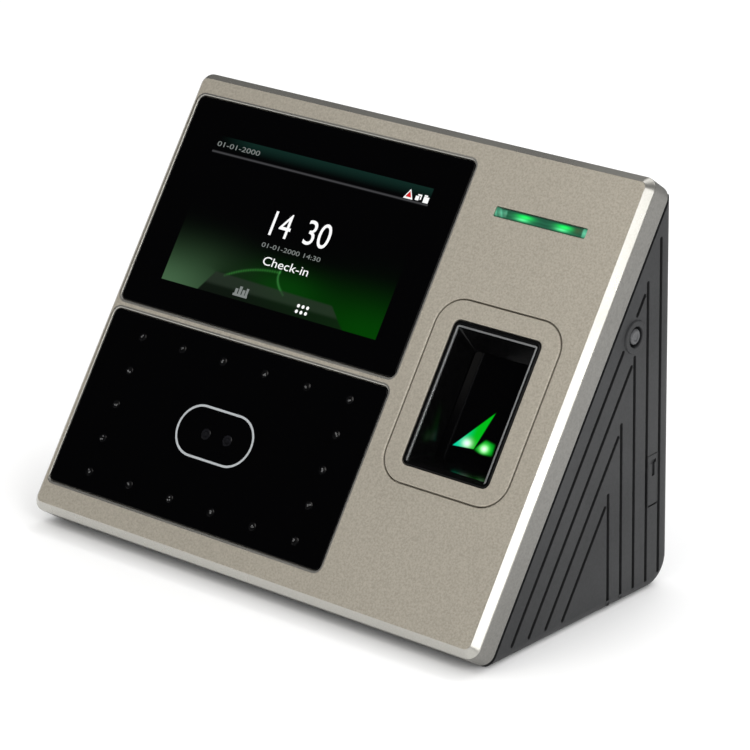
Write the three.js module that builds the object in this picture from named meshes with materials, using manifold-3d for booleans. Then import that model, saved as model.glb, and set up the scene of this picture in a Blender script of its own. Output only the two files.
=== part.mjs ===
// Face and fingerprint attendance terminal: a silver front tray on a dark wedge-shaped housing.
// Millimetres, +Z up. The origin is on the surface it stands on, in the middle of its bounding box.
// The front faces -Y and leans back; the rear wall faces +Y and leans slightly forward.
import * as THREE from 'three';
import { mergeVertices } from 'three/addons/utils/BufferGeometryUtils.js';
import Module from 'manifold-3d';

const wasm = await Module();
wasm.setup();

// ---- driving dimensions --------------------------------------------------------------------------------

const DEG = Math.PI / 180;
const GAP = 0.3; // clearance between two pieces that meet

const WIDTH = 193.6;
const FACE_LENGTH = 163.6;
const DEPTH = 106.6;
const FACE_SLOPE = 57.25 * DEG; // face against the horizontal
const BACK_LEAN = 3.6 * DEG; // rear wall against the vertical
const FACE_FOOT_HEIGHT = 7.1; // the tray's lower front corner above the standing surface

const TRAY_DEPTH = 11.8;
const TRAY_WALL = 2.4;
const TRAY_FACE = 3.0;
const TRAY_BEVEL = 2.5;
const TRAY_CORNER = 4.5;
const SEAT_DEPTH = 2.1; // front face down to the ledge that a window rests on
const LEDGE = 1.2;

const HOUSING_FRONT = -13.5; // housing's front rim, measured from the face plane
const HOUSING_INSET = 0.8; // housing inside the tray's outline
const HOUSING_WALL = 2.5;
const HOUSING_EDGE = 4.0; // rounding of the housing's side edges
const FOOT_RADIUS = 10.0; // rounding where the base turns up into the rear wall

// Openings in the face, as left, right, bottom, top from the tray's lower left corner.
const DISPLAY_WINDOW = { left: 3.8, right: 126.0, bottom: 78.0, top: 155.0, corner: 2.5 };
const CAMERA_WINDOW = { left: 3.8, right: 126.0, bottom: 10.5, top: 75.0, corner: 2.5 };
const READER_PANEL = { left: 133.0, right: 183.6, bottom: 46.0, top: 110.0, corner: 10.0 };
const LIGHT_SLOT = { left: 139.6, right: 176.4, bottom: 138.5, top: 142.1, corner: 0.5 };

const LCD = { centre: [65.7, 115.6], width: 105.5, height: 67.2 };
const CAMERA_CENTRE = [66.2, 42.5];
const CAMERA_SPACING = 9.5;
const LAMP_COLUMNS = 6;
const LAMP_ROWS = 5;
const LAMP_PITCH = [18.5, 12.4];
const LAMP_RADIUS = 1.5;
const RING = { centre: [65.1, 42.4], width: 33.4, height: 18.5, line: 0.8, room: 0.2, groove: 1.0 };

const READER_CENTRE = [158.3, 77.6];
const READER = { width: 34.9, height: 50.0, mouth: [31.2, 45.8], floorShare: 0.8, depth: 9.5 };

// Side grooves: upright ones measured forward from the rear wall, slanted ones back from the face plane.
const GROOVE = { width: 1.5, depth: 0.9, foot: 3.7 };
const UPRIGHT = { first: 6.3, pitch: 7.1, count: 5, firstFoot: 4.8, firstTop: 124 };
const SLANTED = { first: 19.9, pitch: 7.5, count: 4 };
const GROOVE_OVERSHOOT = 2.2; // an upright groove runs on above the slanted one that meets it

// Power button and USB cover, as distance forward from the rear wall and height up it.
const BUTTON = { forward: 20.5, up: 94.0, radius: 2.6, hole: 3.5, ring: 5.4, ringHeight: 0.5 };
const FLAP = { forward: 9.85, width: 5.8, bottom: 31.0, top: 49.0, thickness: 1.1 };

// Rear wall: wall plate above, connector bay below. The pocket runs on below the plate, so that the plate's
// hooks go in through their slots before the terminal slides down onto them.
const PLATE = {
  halfWidth: 62.0, bottom: 44.0, top: 124.0, thickness: 1.5, pocket: 1.8, corner: 4.0, slide: 3.2,
};
const PLATE_HOLES = [[-45, 56], [45, 56], [-45, 112], [45, 112]];
const PLATE_HOLE_RADIUS = 2.4;
const HOOK = { x: 30.0, up: 92.0, width: 8.0, lip: 4.5 };
const PLATE_TAB = { halfWidth: 6.0, reach: 9.0, screwDepth: 5.0 };
const BAY = { halfWidth: 42.0, bottom: 13.0, top: 38.0, depth: 14.0, wall: 2.2 };
const BOARD = { left: -62, right: 58, bottom: 9, top: 60, rear: -30, thickness: 1.6 };
const BOARD_FIXINGS = [[-57, 14], [-57, 55], [53, 55], [53, 14]];
const TAMPER = { x: 54, up: 27, stand: 1.0 };
const RESET = { x: 9, up: 24 };
const CONNECTOR_HEIGHT = 24;
const SIDE_BOARD_X = 78.4;
const HOUSING_SCREWS = { x: 84.0, up: 6.3 };
const TONGUE = { x: 60, halfWidth: 6, low: 158.2, high: 160, back: -16, front: -9.5 }; // in the tray's top
const SPEAKER = { x: 42, y: -8, radius: 16, slots: 5, slotPitch: 4.0, slotWidth: 1.6, slotLength: 20 };
const BATTERY = { left: -75, right: -20, front: -24, back: 10, height: 10 };

// ---- frames --------------------------------------------------------------------------------------------

// Face frame: x to the right, y up the face, z out of it.
// Rear frame: x the same, y out of the rear wall, z up it.
const face = new THREE.Group();
face.position.set(0, -DEPTH / 2 - TRAY_BEVEL * Math.cos(FACE_SLOPE), FACE_FOOT_HEIGHT);
face.rotation.x = FACE_SLOPE;
const rear = new THREE.Group();
const rearFoot = DEPTH / 2 - FOOT_RADIUS + FOOT_RADIUS * (1 + Math.sin(BACK_LEAN)) / Math.cos(BACK_LEAN);
rear.position.set(0, rearFoot, 0);
rear.rotation.x = BACK_LEAN;
face.updateMatrix();
rear.updateMatrix();
const terminal = new THREE.Group();
terminal.add(face, rear);

// ---- solids --------------------------------------------------------------------------------------------

function solidOf(geometry) {
  const bare = geometry.clone();
  bare.deleteAttribute('normal');
  bare.deleteAttribute('uv');
  const merged = mergeVertices(bare, 1e-4);
  const corners = merged.index.array;
  const kept = [];
  for (let i = 0; i < corners.length; i += 3) {
    const [a, b, c] = corners.slice(i, i + 3);
    if (a !== b && b !== c && c !== a) kept.push(a, b, c);
  }
  return new wasm.Manifold(new wasm.Mesh({
    numProp: 3,
    vertProperties: Float32Array.from(merged.attributes.position.array),
    triVerts: Uint32Array.from(kept),
  }));
}

function geometryOf(solid) {
  const cut = solid.getMesh();
  const geometry = new THREE.BufferGeometry();
  geometry.setAttribute('position', new THREE.BufferAttribute(Float32Array.from(cut.vertProperties), 3));
  geometry.setIndex(new THREE.BufferAttribute(Uint32Array.from(cut.triVerts), 1));
  geometry.computeVertexNormals();
  return geometry;
}

const placed = (solid, frame) => solid.transform(frame.matrix.elements);

function block(x0, x1, y0, y1, z0, z1) {
  const box = new THREE.BoxGeometry(x1 - x0, y1 - y0, z1 - z0);
  return solidOf(box.translate((x0 + x1) / 2, (y0 + y1) / 2, (z0 + z1) / 2));
}

// A plate between two levels of z, from a flat outline.
function plate(outline, z0, z1, curveSegments = 3) {
  const geometry = new THREE.ExtrudeGeometry(outline, { depth: z1 - z0, bevelEnabled: false, curveSegments });
  return solidOf(geometry.translate(0, 0, z0));
}

// A round bar along z.
function rod(radius, z0, z1, x = 0, y = 0, sides = 16) {
  const geometry = new THREE.CylinderGeometry(radius, radius, z1 - z0, sides).rotateX(Math.PI / 2);
  return solidOf(geometry.translate(x, y, (z0 + z1) / 2));
}

// A turned piece: [radius, height] pairs that start and end on the axis, turned about z.
function turned(profile, sides = 16) {
  const points = profile.map(([r, h]) => new THREE.Vector2(r, h));
  return solidOf(new THREE.LatheGeometry(points, sides).rotateX(Math.PI / 2));
}

function roundedRectangle(x0, x1, y0, y1, r) {
  const shape = new THREE.Shape();
  shape.moveTo(x0 + r, y0);
  shape.lineTo(x1 - r, y0);
  shape.absarc(x1 - r, y0 + r, r, -Math.PI / 2, 0);
  shape.lineTo(x1, y1 - r);
  shape.absarc(x1 - r, y1 - r, r, 0, Math.PI / 2);
  shape.lineTo(x0 + r, y1);
  shape.absarc(x0 + r, y1 - r, r, Math.PI / 2, Math.PI);
  shape.lineTo(x0, y0 + r);
  shape.absarc(x0 + r, y0 + r, r, Math.PI, 1.5 * Math.PI);
  return shape;
}

// The outline of an opening in the face, grown by a margin, in the face frame.
function outlineOf({ left, right, bottom, top, corner }, margin = 0) {
  const half = WIDTH / 2;
  const x0 = left - half - margin;
  const x1 = right - half + margin;
  return roundedRectangle(x0, x1, bottom - margin, top + margin, Math.max(corner + margin, 0.4));
}

function centredOutline(x, y, width, height, corner) {
  return roundedRectangle(x - width / 2, x + width / 2, y - height / 2, y + height / 2, corner);
}

// ---- finishes ------------------------------------------------------------------------------------------

function finish(color, roughness, metalness = 0, extra = {}) {
  return new THREE.MeshStandardMaterial({ color, roughness, metalness, ...extra });
}

const SILVER_PAINT = finish(0xa9a296, 0.42, 0.45);
const BLACK_GLASS = finish(0x050505, 0.06);
const SMOKED_GLASS = finish(0x070606, 0.08);
const PALE_TRIM = finish(0x9fb0bd, 0.3, 0.6);
const DARK_MOULDING = finish(0x3c3d3f, 0.6);
const GLOSS_MOULDING = finish(0x0a0a0a, 0.2);
const BLACK_RUBBER = finish(0x0d0d0d, 0.85);
const CIRCUIT_BOARD = finish(0x0f4a2b, 0.5);
const BARE_STEEL = finish(0xb4b5b6, 0.32, 0.9);
const GREEN_LIGHT = finish(0x1fd45a, 0.3, 0, { emissive: 0x0f8a34 });
const CLEAR_GLASS = finish(0x0d2415, 0.04);
const TERMINAL_GREEN = finish(0x1c7a45, 0.5);
const BATTERY_WRAP = finish(0x2a5fa8, 0.4);
const RELAY_BLUE = finish(0x1d55a0, 0.4);

function add(parent, name, solid, material) {
  const mesh = new THREE.Mesh(geometryOf(solid), material);
  mesh.name = name;
  parent.add(mesh);
  return mesh;
}

const halfWidth = WIDTH / 2;

// ---- front tray ----------------------------------------------------------------------------------------

function frontBezel() {
  const outline = centredOutline(0, FACE_LENGTH / 2, WIDTH, FACE_LENGTH, TRAY_CORNER);
  const shell = new THREE.ExtrudeGeometry(outline, {
    depth: TRAY_DEPTH,
    bevelThickness: TRAY_BEVEL,
    bevelSize: TRAY_BEVEL,
    bevelOffset: -TRAY_BEVEL,
    bevelSegments: 1,
    curveSegments: 3,
  }).translate(0, 0, -TRAY_DEPTH - TRAY_BEVEL);
  const beyond = 2 * WIDTH;
  const behind = block(-beyond, beyond, -beyond, beyond, -2 * TRAY_DEPTH, -TRAY_DEPTH);
  const inside = outlineOf({
    left: TRAY_WALL,
    right: WIDTH - TRAY_WALL,
    bottom: TRAY_WALL,
    top: FACE_LENGTH - TRAY_WALL,
    corner: TRAY_CORNER - TRAY_WALL,
  });
  let tray = solidOf(shell).subtract(behind).subtract(plate(inside, -TRAY_DEPTH - 1, -TRAY_FACE));
  for (const opening of [DISPLAY_WINDOW, CAMERA_WINDOW, READER_PANEL]) {
    tray = tray.subtract(plate(outlineOf(opening), -SEAT_DEPTH, 1));
    tray = tray.subtract(plate(outlineOf(opening, -LEDGE), -TRAY_FACE - 1, 1));
  }
  tray = tray.subtract(plate(outlineOf(LIGHT_SLOT), -TRAY_FACE - 1, 1, 1));
  for (const side of [-1, 1]) {
    const x = side * HOUSING_SCREWS.x;
    tray = tray.add(rod(2.9, -TRAY_DEPTH + GAP, -TRAY_FACE + 0.5, x, HOUSING_SCREWS.up, 12));
    tray = tray.subtract(rod(1.5, -TRAY_DEPTH - 1, -TRAY_FACE - 1.5, x, HOUSING_SCREWS.up, 8));
  }
  return tray;
}

function frontGasket() {
  const inset = 1.2;
  const cord = 1.8;
  const ring = {
    left: inset, right: WIDTH - inset, bottom: inset, top: FACE_LENGTH - inset, corner: TRAY_CORNER - inset,
  };
  const back = HOUSING_FRONT + GAP;
  const front = -TRAY_DEPTH - GAP;
  const inside = plate(outlineOf(ring, -cord), back - 1, front + 1, 2);
  return plate(outlineOf(ring), back, front, 2).subtract(inside);
}

add(face, 'front_bezel', frontBezel(), SILVER_PAINT);
add(face, 'front_gasket', frontGasket(), BLACK_RUBBER);

// ---- windows, display and cameras ----------------------------------------------------------------------

// Levels below the face plane of what lies behind the windows.
const WINDOW_FRONT = -GAP;
const WINDOW_BACK = -SEAT_DEPTH + GAP;
const DISPLAY_FRONT = -2.4;
const DISPLAY_BACK = -5.4;
const CARRIER_BACK = -7.4;
const BAFFLE_BACK = -5.4;
const LAMP_BOARD_FRONT = -5.7;
const LAMP_BOARD_BACK = -7.3;

function ringOutline(margin) {
  const [x, y] = [RING.centre[0] - halfWidth, RING.centre[1]];
  const height = RING.height + 2 * margin;
  return centredOutline(x, y, RING.width + 2 * margin, height, height / 2 - 0.01);
}

function cameraWindow() {
  const pane = plate(outlineOf(CAMERA_WINDOW, -GAP), WINDOW_BACK, WINDOW_FRONT);
  const island = plate(ringOutline(-RING.line - RING.room), -2, 2, 5);
  const groove = plate(ringOutline(RING.room), -RING.groove, 1, 5).subtract(island);
  return pane.subtract(groove);
}

function cameraRing() {
  const ring = plate(ringOutline(0), -RING.groove + GAP, WINDOW_FRONT, 5);
  return ring.subtract(plate(ringOutline(-RING.line), -2, 2, 5));
}

function displayCarrier() {
  const x = LCD.centre[0] - halfWidth;
  const y = LCD.centre[1];
  const outline = centredOutline(x, y, LCD.width + 6, LCD.height + 4.8, 2);
  const outside = plate(outline, CARRIER_BACK, -TRAY_FACE - GAP, 2);
  const inside = plate(centredOutline(x, y, LCD.width + 3, LCD.height + 1.8, 1), CARRIER_BACK + 1.5, 0, 2);
  const cableSlot = block(x - 14, x + 14, y - 32, y - 24, CARRIER_BACK - 1, DISPLAY_BACK);
  return outside.subtract(inside).subtract(cableSlot);
}

// Places of the 18 lamps: the border of a grid of six columns and five rows.
function lampPlaces() {
  const places = [];
  for (let column = 0; column < LAMP_COLUMNS; column += 1) {
    for (let row = 0; row < LAMP_ROWS; row += 1) {
      const onBorder = column % (LAMP_COLUMNS - 1) === 0 || row % (LAMP_ROWS - 1) === 0;
      const x = CAMERA_CENTRE[0] - halfWidth + (column - (LAMP_COLUMNS - 1) / 2) * LAMP_PITCH[0];
      const y = CAMERA_CENTRE[1] + (row - (LAMP_ROWS - 1) / 2) * LAMP_PITCH[1];
      if (onBorder) places.push([x, y]);
    }
  }
  return places;
}

const LAMP_PANEL = { left: 8.8, right: 123.2, bottom: 13.0, top: 72.5, corner: 1 };

function cameraCutout(width, height) {
  return centredOutline(CAMERA_CENTRE[0] - halfWidth, CAMERA_CENTRE[1], width, height, 1);
}

function lightBaffle() {
  let baffle = plate(outlineOf(LAMP_PANEL), BAFFLE_BACK, DISPLAY_FRONT, 1);
  baffle = baffle.subtract(plate(cameraCutout(24, 13), BAFFLE_BACK - 1, 0, 1));
  for (const [x, y] of lampPlaces()) {
    baffle = baffle.subtract(rod(LAMP_RADIUS + 0.5, -6, -2, x, y, 10));
  }
  return baffle;
}

function lampBoard() {
  let board = plate(outlineOf(LAMP_PANEL), LAMP_BOARD_BACK, LAMP_BOARD_FRONT, 1);
  board = board.subtract(plate(cameraCutout(24, 13), LAMP_BOARD_BACK - 1, 0, 1));
  const foot = LAMP_BOARD_FRONT - 0.3;
  const shoulder = foot + 2.3;
  const dome = [[LAMP_RADIUS, shoulder], [0.8, shoulder + 0.8], [0, shoulder + 0.95]];
  for (const [x, y] of lampPlaces()) {
    const lamp = turned([[0, foot], [LAMP_RADIUS, foot], ...dome], 8);
    board = board.add(lamp.translate([x, y, 0]));
  }
  return board;
}

function camera() {
  const body = block(-4.3, 4.3, -4.3, 4.3, -10.4, -6.4);
  const barrel = turned([
    [0, -7], [3.2, -7], [3.2, -3.1], [2.6, -2.8], [1.9, -2.8], [1.2, -3.6], [0, -3.8],
  ], 16);
  return body.add(barrel);
}

add(face, 'touch_window', plate(outlineOf(DISPLAY_WINDOW, -GAP), WINDOW_BACK, WINDOW_FRONT), BLACK_GLASS);
add(face, 'lcd_panel', plate(
  centredOutline(LCD.centre[0] - halfWidth, LCD.centre[1], LCD.width, LCD.height, 1),
  DISPLAY_BACK, DISPLAY_FRONT, 1,
), BLACK_GLASS);
add(face, 'display_carrier', displayCarrier(), BARE_STEEL);
add(face, 'camera_window', cameraWindow(), SMOKED_GLASS);
add(face, 'camera_ring', cameraRing(), PALE_TRIM);
add(face, 'light_baffle', lightBaffle(), GLOSS_MOULDING);
add(face, 'ir_led_board', lampBoard(), CIRCUIT_BOARD);
for (const [name, side] of [['colour_camera', -1], ['infrared_camera', 1]]) {
  const x = CAMERA_CENTRE[0] - halfWidth + side * CAMERA_SPACING / 2;
  add(face, name, camera().translate([x, CAMERA_CENTRE[1], 0]), GLOSS_MOULDING);
}
add(face, 'camera_board', plate(cameraCutout(28, 14), -11.9, -10.7, 1), CIRCUIT_BOARD);

// ---- status light --------------------------------------------------------------------------------------

const LIGHT_X = (LIGHT_SLOT.left + LIGHT_SLOT.right) / 2 - halfWidth;
const LIGHT_Y = (LIGHT_SLOT.bottom + LIGHT_SLOT.top) / 2;

function lightPipe() {
  const bar = plate(outlineOf(LIGHT_SLOT, -GAP), -4, -0.1, 1);
  const flange = plate(centredOutline(LIGHT_X, LIGHT_Y, 42, 6, 1), -4.5, -TRAY_FACE - GAP, 1);
  return bar.add(flange);
}

function lightBoard() {
  let board = plate(centredOutline(LIGHT_X, LIGHT_Y, 44, 8, 1), -7.4, -6.2, 1);
  for (const step of [-1, 0, 1]) {
    const x = LIGHT_X + step * 13;
    board = board.add(block(x - 1.6, x + 1.6, LIGHT_Y - 1.4, LIGHT_Y + 1.4, -6.5, -4.9));
  }
  return board;
}

add(face, 'status_light_pipe', lightPipe(), GREEN_LIGHT);
add(face, 'status_led_board', lightBoard(), CIRCUIT_BOARD);

// ---- fingerprint reader --------------------------------------------------------------------------------

const READER_X = READER_CENTRE[0] - halfWidth;
const READER_Y = READER_CENTRE[1];

function readerOutline(width, height, corner) {
  return centredOutline(READER_X, READER_Y, width, height, corner);
}

// A four-sided funnel from the mouth at the front down to its floor.
function readerWell() {
  const [width, height] = READER.mouth;
  const slope = (1 - READER.floorShare) / READER.depth;
  const top = 1;
  const bottom = READER.depth + 1;
  const funnel = new THREE.CylinderGeometry(
    Math.SQRT1_2 * (1 + slope * top), Math.SQRT1_2 * (1 - slope * bottom), top + bottom, 4,
  );
  funnel.rotateY(Math.PI / 4).rotateX(Math.PI / 2).scale(width, height, 1);
  return solidOf(funnel.translate(READER_X, READER_Y, (top - bottom) / 2));
}

function readerPlate() {
  const panel = plate(outlineOf(READER_PANEL, -0.35), -SEAT_DEPTH + GAP, 0, 4);
  return panel.subtract(plate(readerOutline(READER.width + 0.6, READER.height + 0.6, 2.5), -5, 1, 2));
}

function readerFrame() {
  const rim = plate(readerOutline(READER.width, READER.height, 2.2), -READER.depth, 0, 2);
  const flange = plate(readerOutline(38, 53, 2.5), -4.4, -SEAT_DEPTH - GAP, 2);
  const seat = plate(readerOutline(READER.mouth[0] + 2, READER.mouth[1] + 2, 1.2), -1.1, 1, 1);
  return rim.add(flange).subtract(readerWell()).subtract(seat);
}

function readerTrim() {
  const [width, height] = READER.mouth;
  const outside = plate(readerOutline(width + 1.4, height + 1.4, 0.9), -0.8, -0.2, 1);
  return outside.subtract(plate(readerOutline(width, height, 0.6), -2, 1, 1));
}

// Glass block under the well: flat on top where the finger lies, cut away at one lower edge.
function readerPrism() {
  const half = 20;
  const profile = new THREE.Shape();
  profile.moveTo(-half, -21);
  profile.lineTo(6, -21);
  profile.lineTo(half, -13);
  profile.lineTo(half, -READER.depth - GAP);
  profile.lineTo(-half, -READER.depth - GAP);
  const along = new THREE.Matrix4().makeBasis(
    new THREE.Vector3(0, 1, 0), new THREE.Vector3(0, 0, 1), new THREE.Vector3(1, 0, 0),
  );
  const bar = new THREE.ExtrudeGeometry(profile, { depth: 27, bevelEnabled: false });
  return solidOf(bar.translate(0, 0, -13.5).applyMatrix4(along).translate(READER_X, READER_Y, 0));
}

function readerBody() {
  const outside = plate(readerOutline(31, 45, 1), -30, -READER.depth - GAP, 1);
  const inside = plate(readerOutline(27.8, 40.8, 0.6), -28.4, 0, 1);
  return outside.subtract(inside).subtract(rod(4.3, -31, -27, READER_X, READER_Y, 12));
}

function readerBoard() {
  const board = plate(readerOutline(30, 44, 1), -31.6, -30.4, 1);
  return board.add(rod(3.9, -31, -24.5, READER_X, READER_Y, 12));
}

add(face, 'reader_plate', readerPlate(), SILVER_PAINT);
add(face, 'reader_frame', readerFrame(), GLOSS_MOULDING);
add(face, 'reader_trim', readerTrim(), PALE_TRIM);
add(face, 'reader_prism', readerPrism(), CLEAR_GLASS);
add(face, 'reader_body', readerBody(), GLOSS_MOULDING);
add(face, 'reader_board', readerBoard(), CIRCUIT_BOARD);

// ---- rear housing --------------------------------------------------------------------------------------

// A point of the side view in the row frame: distance up the face and level above the face plane.
function onFace(up, level) {
  return new THREE.Vector3(0, up, level).applyMatrix4(face.matrix);
}

// The wedge's side view, moved inwards by an inset. Its front edge runs past the rim and is trimmed there.
function wedgeProfile(inset) {
  const backLine = new THREE.Vector3(0, -inset, 0).applyMatrix4(rear.matrix);
  const backY = (z) => backLine.y - (z - backLine.z) * Math.tan(BACK_LEAN);
  const radius = FOOT_RADIUS - inset;
  const footY = DEPTH / 2 - FOOT_RADIUS;
  const spare = 8;
  const frontLevel = HOUSING_FRONT + spare;
  const upAtBase = (inset - FACE_FOOT_HEIGHT - frontLevel * Math.cos(FACE_SLOPE)) / Math.sin(FACE_SLOPE);
  const frontFoot = onFace(upAtBase, frontLevel);
  const topUp = FACE_LENGTH - HOUSING_INSET - inset;
  const frontTop = onFace(topUp, frontLevel);
  const topEdge = onFace(topUp, 0);
  const lean = Math.tan(BACK_LEAN);
  const closing = Math.sin(FACE_SLOPE) - lean * Math.cos(FACE_SLOPE);
  const backTop = onFace(topUp, (topEdge.y - backY(topEdge.z)) / closing);
  const shape = new THREE.Shape();
  shape.moveTo(frontFoot.y, inset);
  shape.lineTo(footY, inset);
  shape.absarc(footY, FOOT_RADIUS, radius, -Math.PI / 2, BACK_LEAN);
  shape.lineTo(backTop.y, backTop.z);
  shape.lineTo(frontTop.y, frontTop.z);
  return shape;
}

function wedge(inset, rounding) {
  const half = halfWidth - HOUSING_INSET - inset;
  const geometry = new THREE.ExtrudeGeometry(wedgeProfile(inset), {
    depth: 2 * (half - rounding),
    bevelEnabled: rounding > 0,
    bevelThickness: rounding,
    bevelSize: rounding,
    bevelOffset: -rounding,
    bevelSegments: 3,
    curveSegments: 4,
  }).translate(0, 0, rounding - half);
  const sideways = new THREE.Matrix4().makeBasis(
    new THREE.Vector3(0, 1, 0), new THREE.Vector3(0, 0, 1), new THREE.Vector3(1, 0, 0),
  );
  return solidOf(geometry.applyMatrix4(sideways));
}

// Height up the rear wall where the slanted groove at a level behind the face meets an upright one.
function meetingHeight(level, forward) {
  const slope = Math.PI / 2 - FACE_SLOPE + BACK_LEAN;
  const toRear = rear.matrix.clone().invert();
  const faceFoot = new THREE.Vector3(0, 0, -level).applyMatrix4(face.matrix).applyMatrix4(toRear);
  return faceFoot.z + (-forward - faceFoot.y) / Math.tan(slope);
}

function sideGrooves() {
  const cuts = [];
  const outside = halfWidth - HOUSING_INSET - GROOVE.depth;
  for (const [x0, x1] of [[outside, halfWidth + 2], [-halfWidth - 2, -outside]]) {
    for (let i = 0; i < UPRIGHT.count; i += 1) {
      const forward = UPRIGHT.first + i * UPRIGHT.pitch;
      const y = -forward;
      const level = SLANTED.first + (i - 1) * SLANTED.pitch;
      const top = i === 0 ? UPRIGHT.firstTop : meetingHeight(level, forward) + GROOVE_OVERSHOOT;
      const foot = i === 0 ? UPRIGHT.firstFoot : GROOVE.foot;
      const upright = block(x0, x1, y - GROOVE.width / 2, y + GROOVE.width / 2, foot, top);
      cuts.push(placed(upright, rear));
    }
    for (let i = 0; i < SLANTED.count; i += 1) {
      const level = SLANTED.first + i * SLANTED.pitch;
      const forward = UPRIGHT.first + (i + 1) * UPRIGHT.pitch;
      const meeting = new THREE.Vector3(0, -forward, meetingHeight(level, forward));
      meeting.applyMatrix4(rear.matrix);
      const foot = (GROOVE.foot - FACE_FOOT_HEIGHT + level * Math.cos(FACE_SLOPE)) / Math.sin(FACE_SLOPE);
      const top = meeting.applyMatrix4(face.matrix.clone().invert()).y - GROOVE.width;
      const z = -level;
      const slanted = block(x0, x1, foot, top, z - GROOVE.width / 2, z + GROOVE.width / 2);
      cuts.push(placed(slanted, face));
    }
  }
  return cuts;
}

// Holes in the bay's floor for the connectors: [centre x, width, height].
const CONNECTORS = {
  power_terminal: [-30, 20.3, 9.2],
  signal_terminal: [-6, 20.3, 9.2],
  ethernet_socket: [21, 16.0, 13.5],
  dc_inlet: [36, 9.0, 11.0],
};

// A round bar along the rear frame's y, from one depth to another.
function rearRod(radius, y0, y1, x, z, sides = 16) {
  return rod(radius, y0, y1, 0, 0, sides).rotate([-90, 0, 0]).translate([x, 0, z]);
}

// A round bar across the object, along x.
function crossRod(radius, x0, x1, y, z, sides = 20) {
  return rod(radius, x0, x1, 0, 0, sides).rotate([0, 90, 0]).translate([0, y, z]);
}

function rearHousing() {
  const outside = wedge(0, HOUSING_EDGE);
  const beyond = 2 * WIDTH;
  const trayRoom = placed(block(-beyond, beyond, -beyond, beyond, HOUSING_FRONT, beyond), face);
  let housing = outside.subtract(wedge(HOUSING_WALL, 0));

  const padFoot = BAY.top + BAY.wall + GAP;
  const padBack = PLATE.pocket + HOUSING_WALL;
  const platePad = block(-PLATE.halfWidth - 3, PLATE.halfWidth + 3, -padBack, 1, padFoot, PLATE.top + 3);
  const screwBoss = block(-9, 9, -PLATE_TAB.reach - HOUSING_WALL, 0, padFoot, PLATE.bottom + 6);
  let inner = placed(platePad.add(screwBoss), rear);
  for (const [x, z] of BOARD_FIXINGS) {
    inner = inner.add(placed(rearRod(3.2, BOARD.rear + GAP, -1, x, z, 10), rear));
  }
  for (const side of [-1, 1]) {
    const x = side * HOUSING_SCREWS.x;
    inner = inner.add(placed(rod(4.6, -60, HOUSING_FRONT, x, HOUSING_SCREWS.up, 12), face));
  }
  housing = housing.add(inner.intersect(outside)).subtract(trayRoom);
  for (const side of [-1, 1]) {
    const x0 = side * TONGUE.x - TONGUE.halfWidth;
    const x1 = side * TONGUE.x + TONGUE.halfWidth;
    housing = housing.add(placed(block(x0, x1, TONGUE.low, TONGUE.high, TONGUE.back, TONGUE.front), face));
  }

  const half = halfWidth - HOUSING_INSET;
  const powerRing = crossRod(BUTTON.ring, half - 1, half + BUTTON.ringHeight, -BUTTON.forward, BUTTON.up);
  for (const groove of sideGrooves()) housing = housing.subtract(groove);
  housing = housing.add(placed(powerRing, rear));

  const pocketFoot = PLATE.bottom - PLATE.slide;
  const flapTop = FLAP.top + GAP;
  const flapY0 = -FLAP.forward - FLAP.width / 2 - GAP;
  const flapY1 = -FLAP.forward + FLAP.width / 2 + GAP;
  const beyondWall = 10;
  const pocket = roundedRectangle(-PLATE.halfWidth, PLATE.halfWidth, pocketFoot, PLATE.top, PLATE.corner);
  const rearCuts = [
    block(-BAY.halfWidth, BAY.halfWidth, -HOUSING_WALL - 1, 5, BAY.bottom, BAY.top),
    plate(pocket, 0, beyondWall, 2).rotate([90, 0, 0]).translate([0, beyondWall - PLATE.pocket, 0]),
    block(
      -PLATE_TAB.halfWidth - GAP, PLATE_TAB.halfWidth + GAP, -PLATE_TAB.reach - GAP, 0,
      pocketFoot, PLATE.bottom + GAP + PLATE.thickness + GAP,
    ),
    rod(1.6, BAY.top - 1, PLATE.bottom + 5, 0, -PLATE_TAB.screwDepth, 8),
    rearRod(2.7, -4, 2, TAMPER.x, TAMPER.up, 12),
    crossRod(BUTTON.hole, 90, 100, -BUTTON.forward, BUTTON.up),
    block(half - FLAP.thickness - GAP, half + 2, flapY0, flapY1, FLAP.bottom - GAP, flapTop),
    block(half - 5, half + 2, -FLAP.forward - 2.7, -FLAP.forward + 2.7, 33.4, 46.6),
  ];
  for (const [x, z] of BOARD_FIXINGS) rearCuts.push(rearRod(1.3, BOARD.rear - 1, -20, x, z, 8));
  for (const side of [-1, 1]) {
    const x = side * HOOK.x;
    const reach = HOOK.width / 2 + GAP;
    rearCuts.push(block(x - reach, x + reach, -6, -1, HOOK.up - HOOK.lip, HOOK.up + PLATE.thickness + GAP));
  }
  for (const cut of rearCuts) housing = housing.subtract(placed(cut, rear));
  for (const side of [-1, 1]) {
    const x = side * HOUSING_SCREWS.x;
    housing = housing.subtract(placed(rod(3.2, -60, -16.5, x, HOUSING_SCREWS.up, 12), face));
    housing = housing.subtract(placed(rod(1.5, -20, -10, x, HOUSING_SCREWS.up, 8), face));
  }
  for (let slot = 0; slot < SPEAKER.slots; slot += 1) {
    const y = SPEAKER.y + (slot - (SPEAKER.slots - 1) / 2) * SPEAKER.slotPitch;
    const reach = SPEAKER.slotWidth / 2;
    const x0 = SPEAKER.x - SPEAKER.slotLength / 2;
    const x1 = SPEAKER.x + SPEAKER.slotLength / 2;
    housing = housing.subtract(block(x0, x1, y - reach, y + reach, -1, HOUSING_WALL + 1));
  }
  return housing;
}

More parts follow.
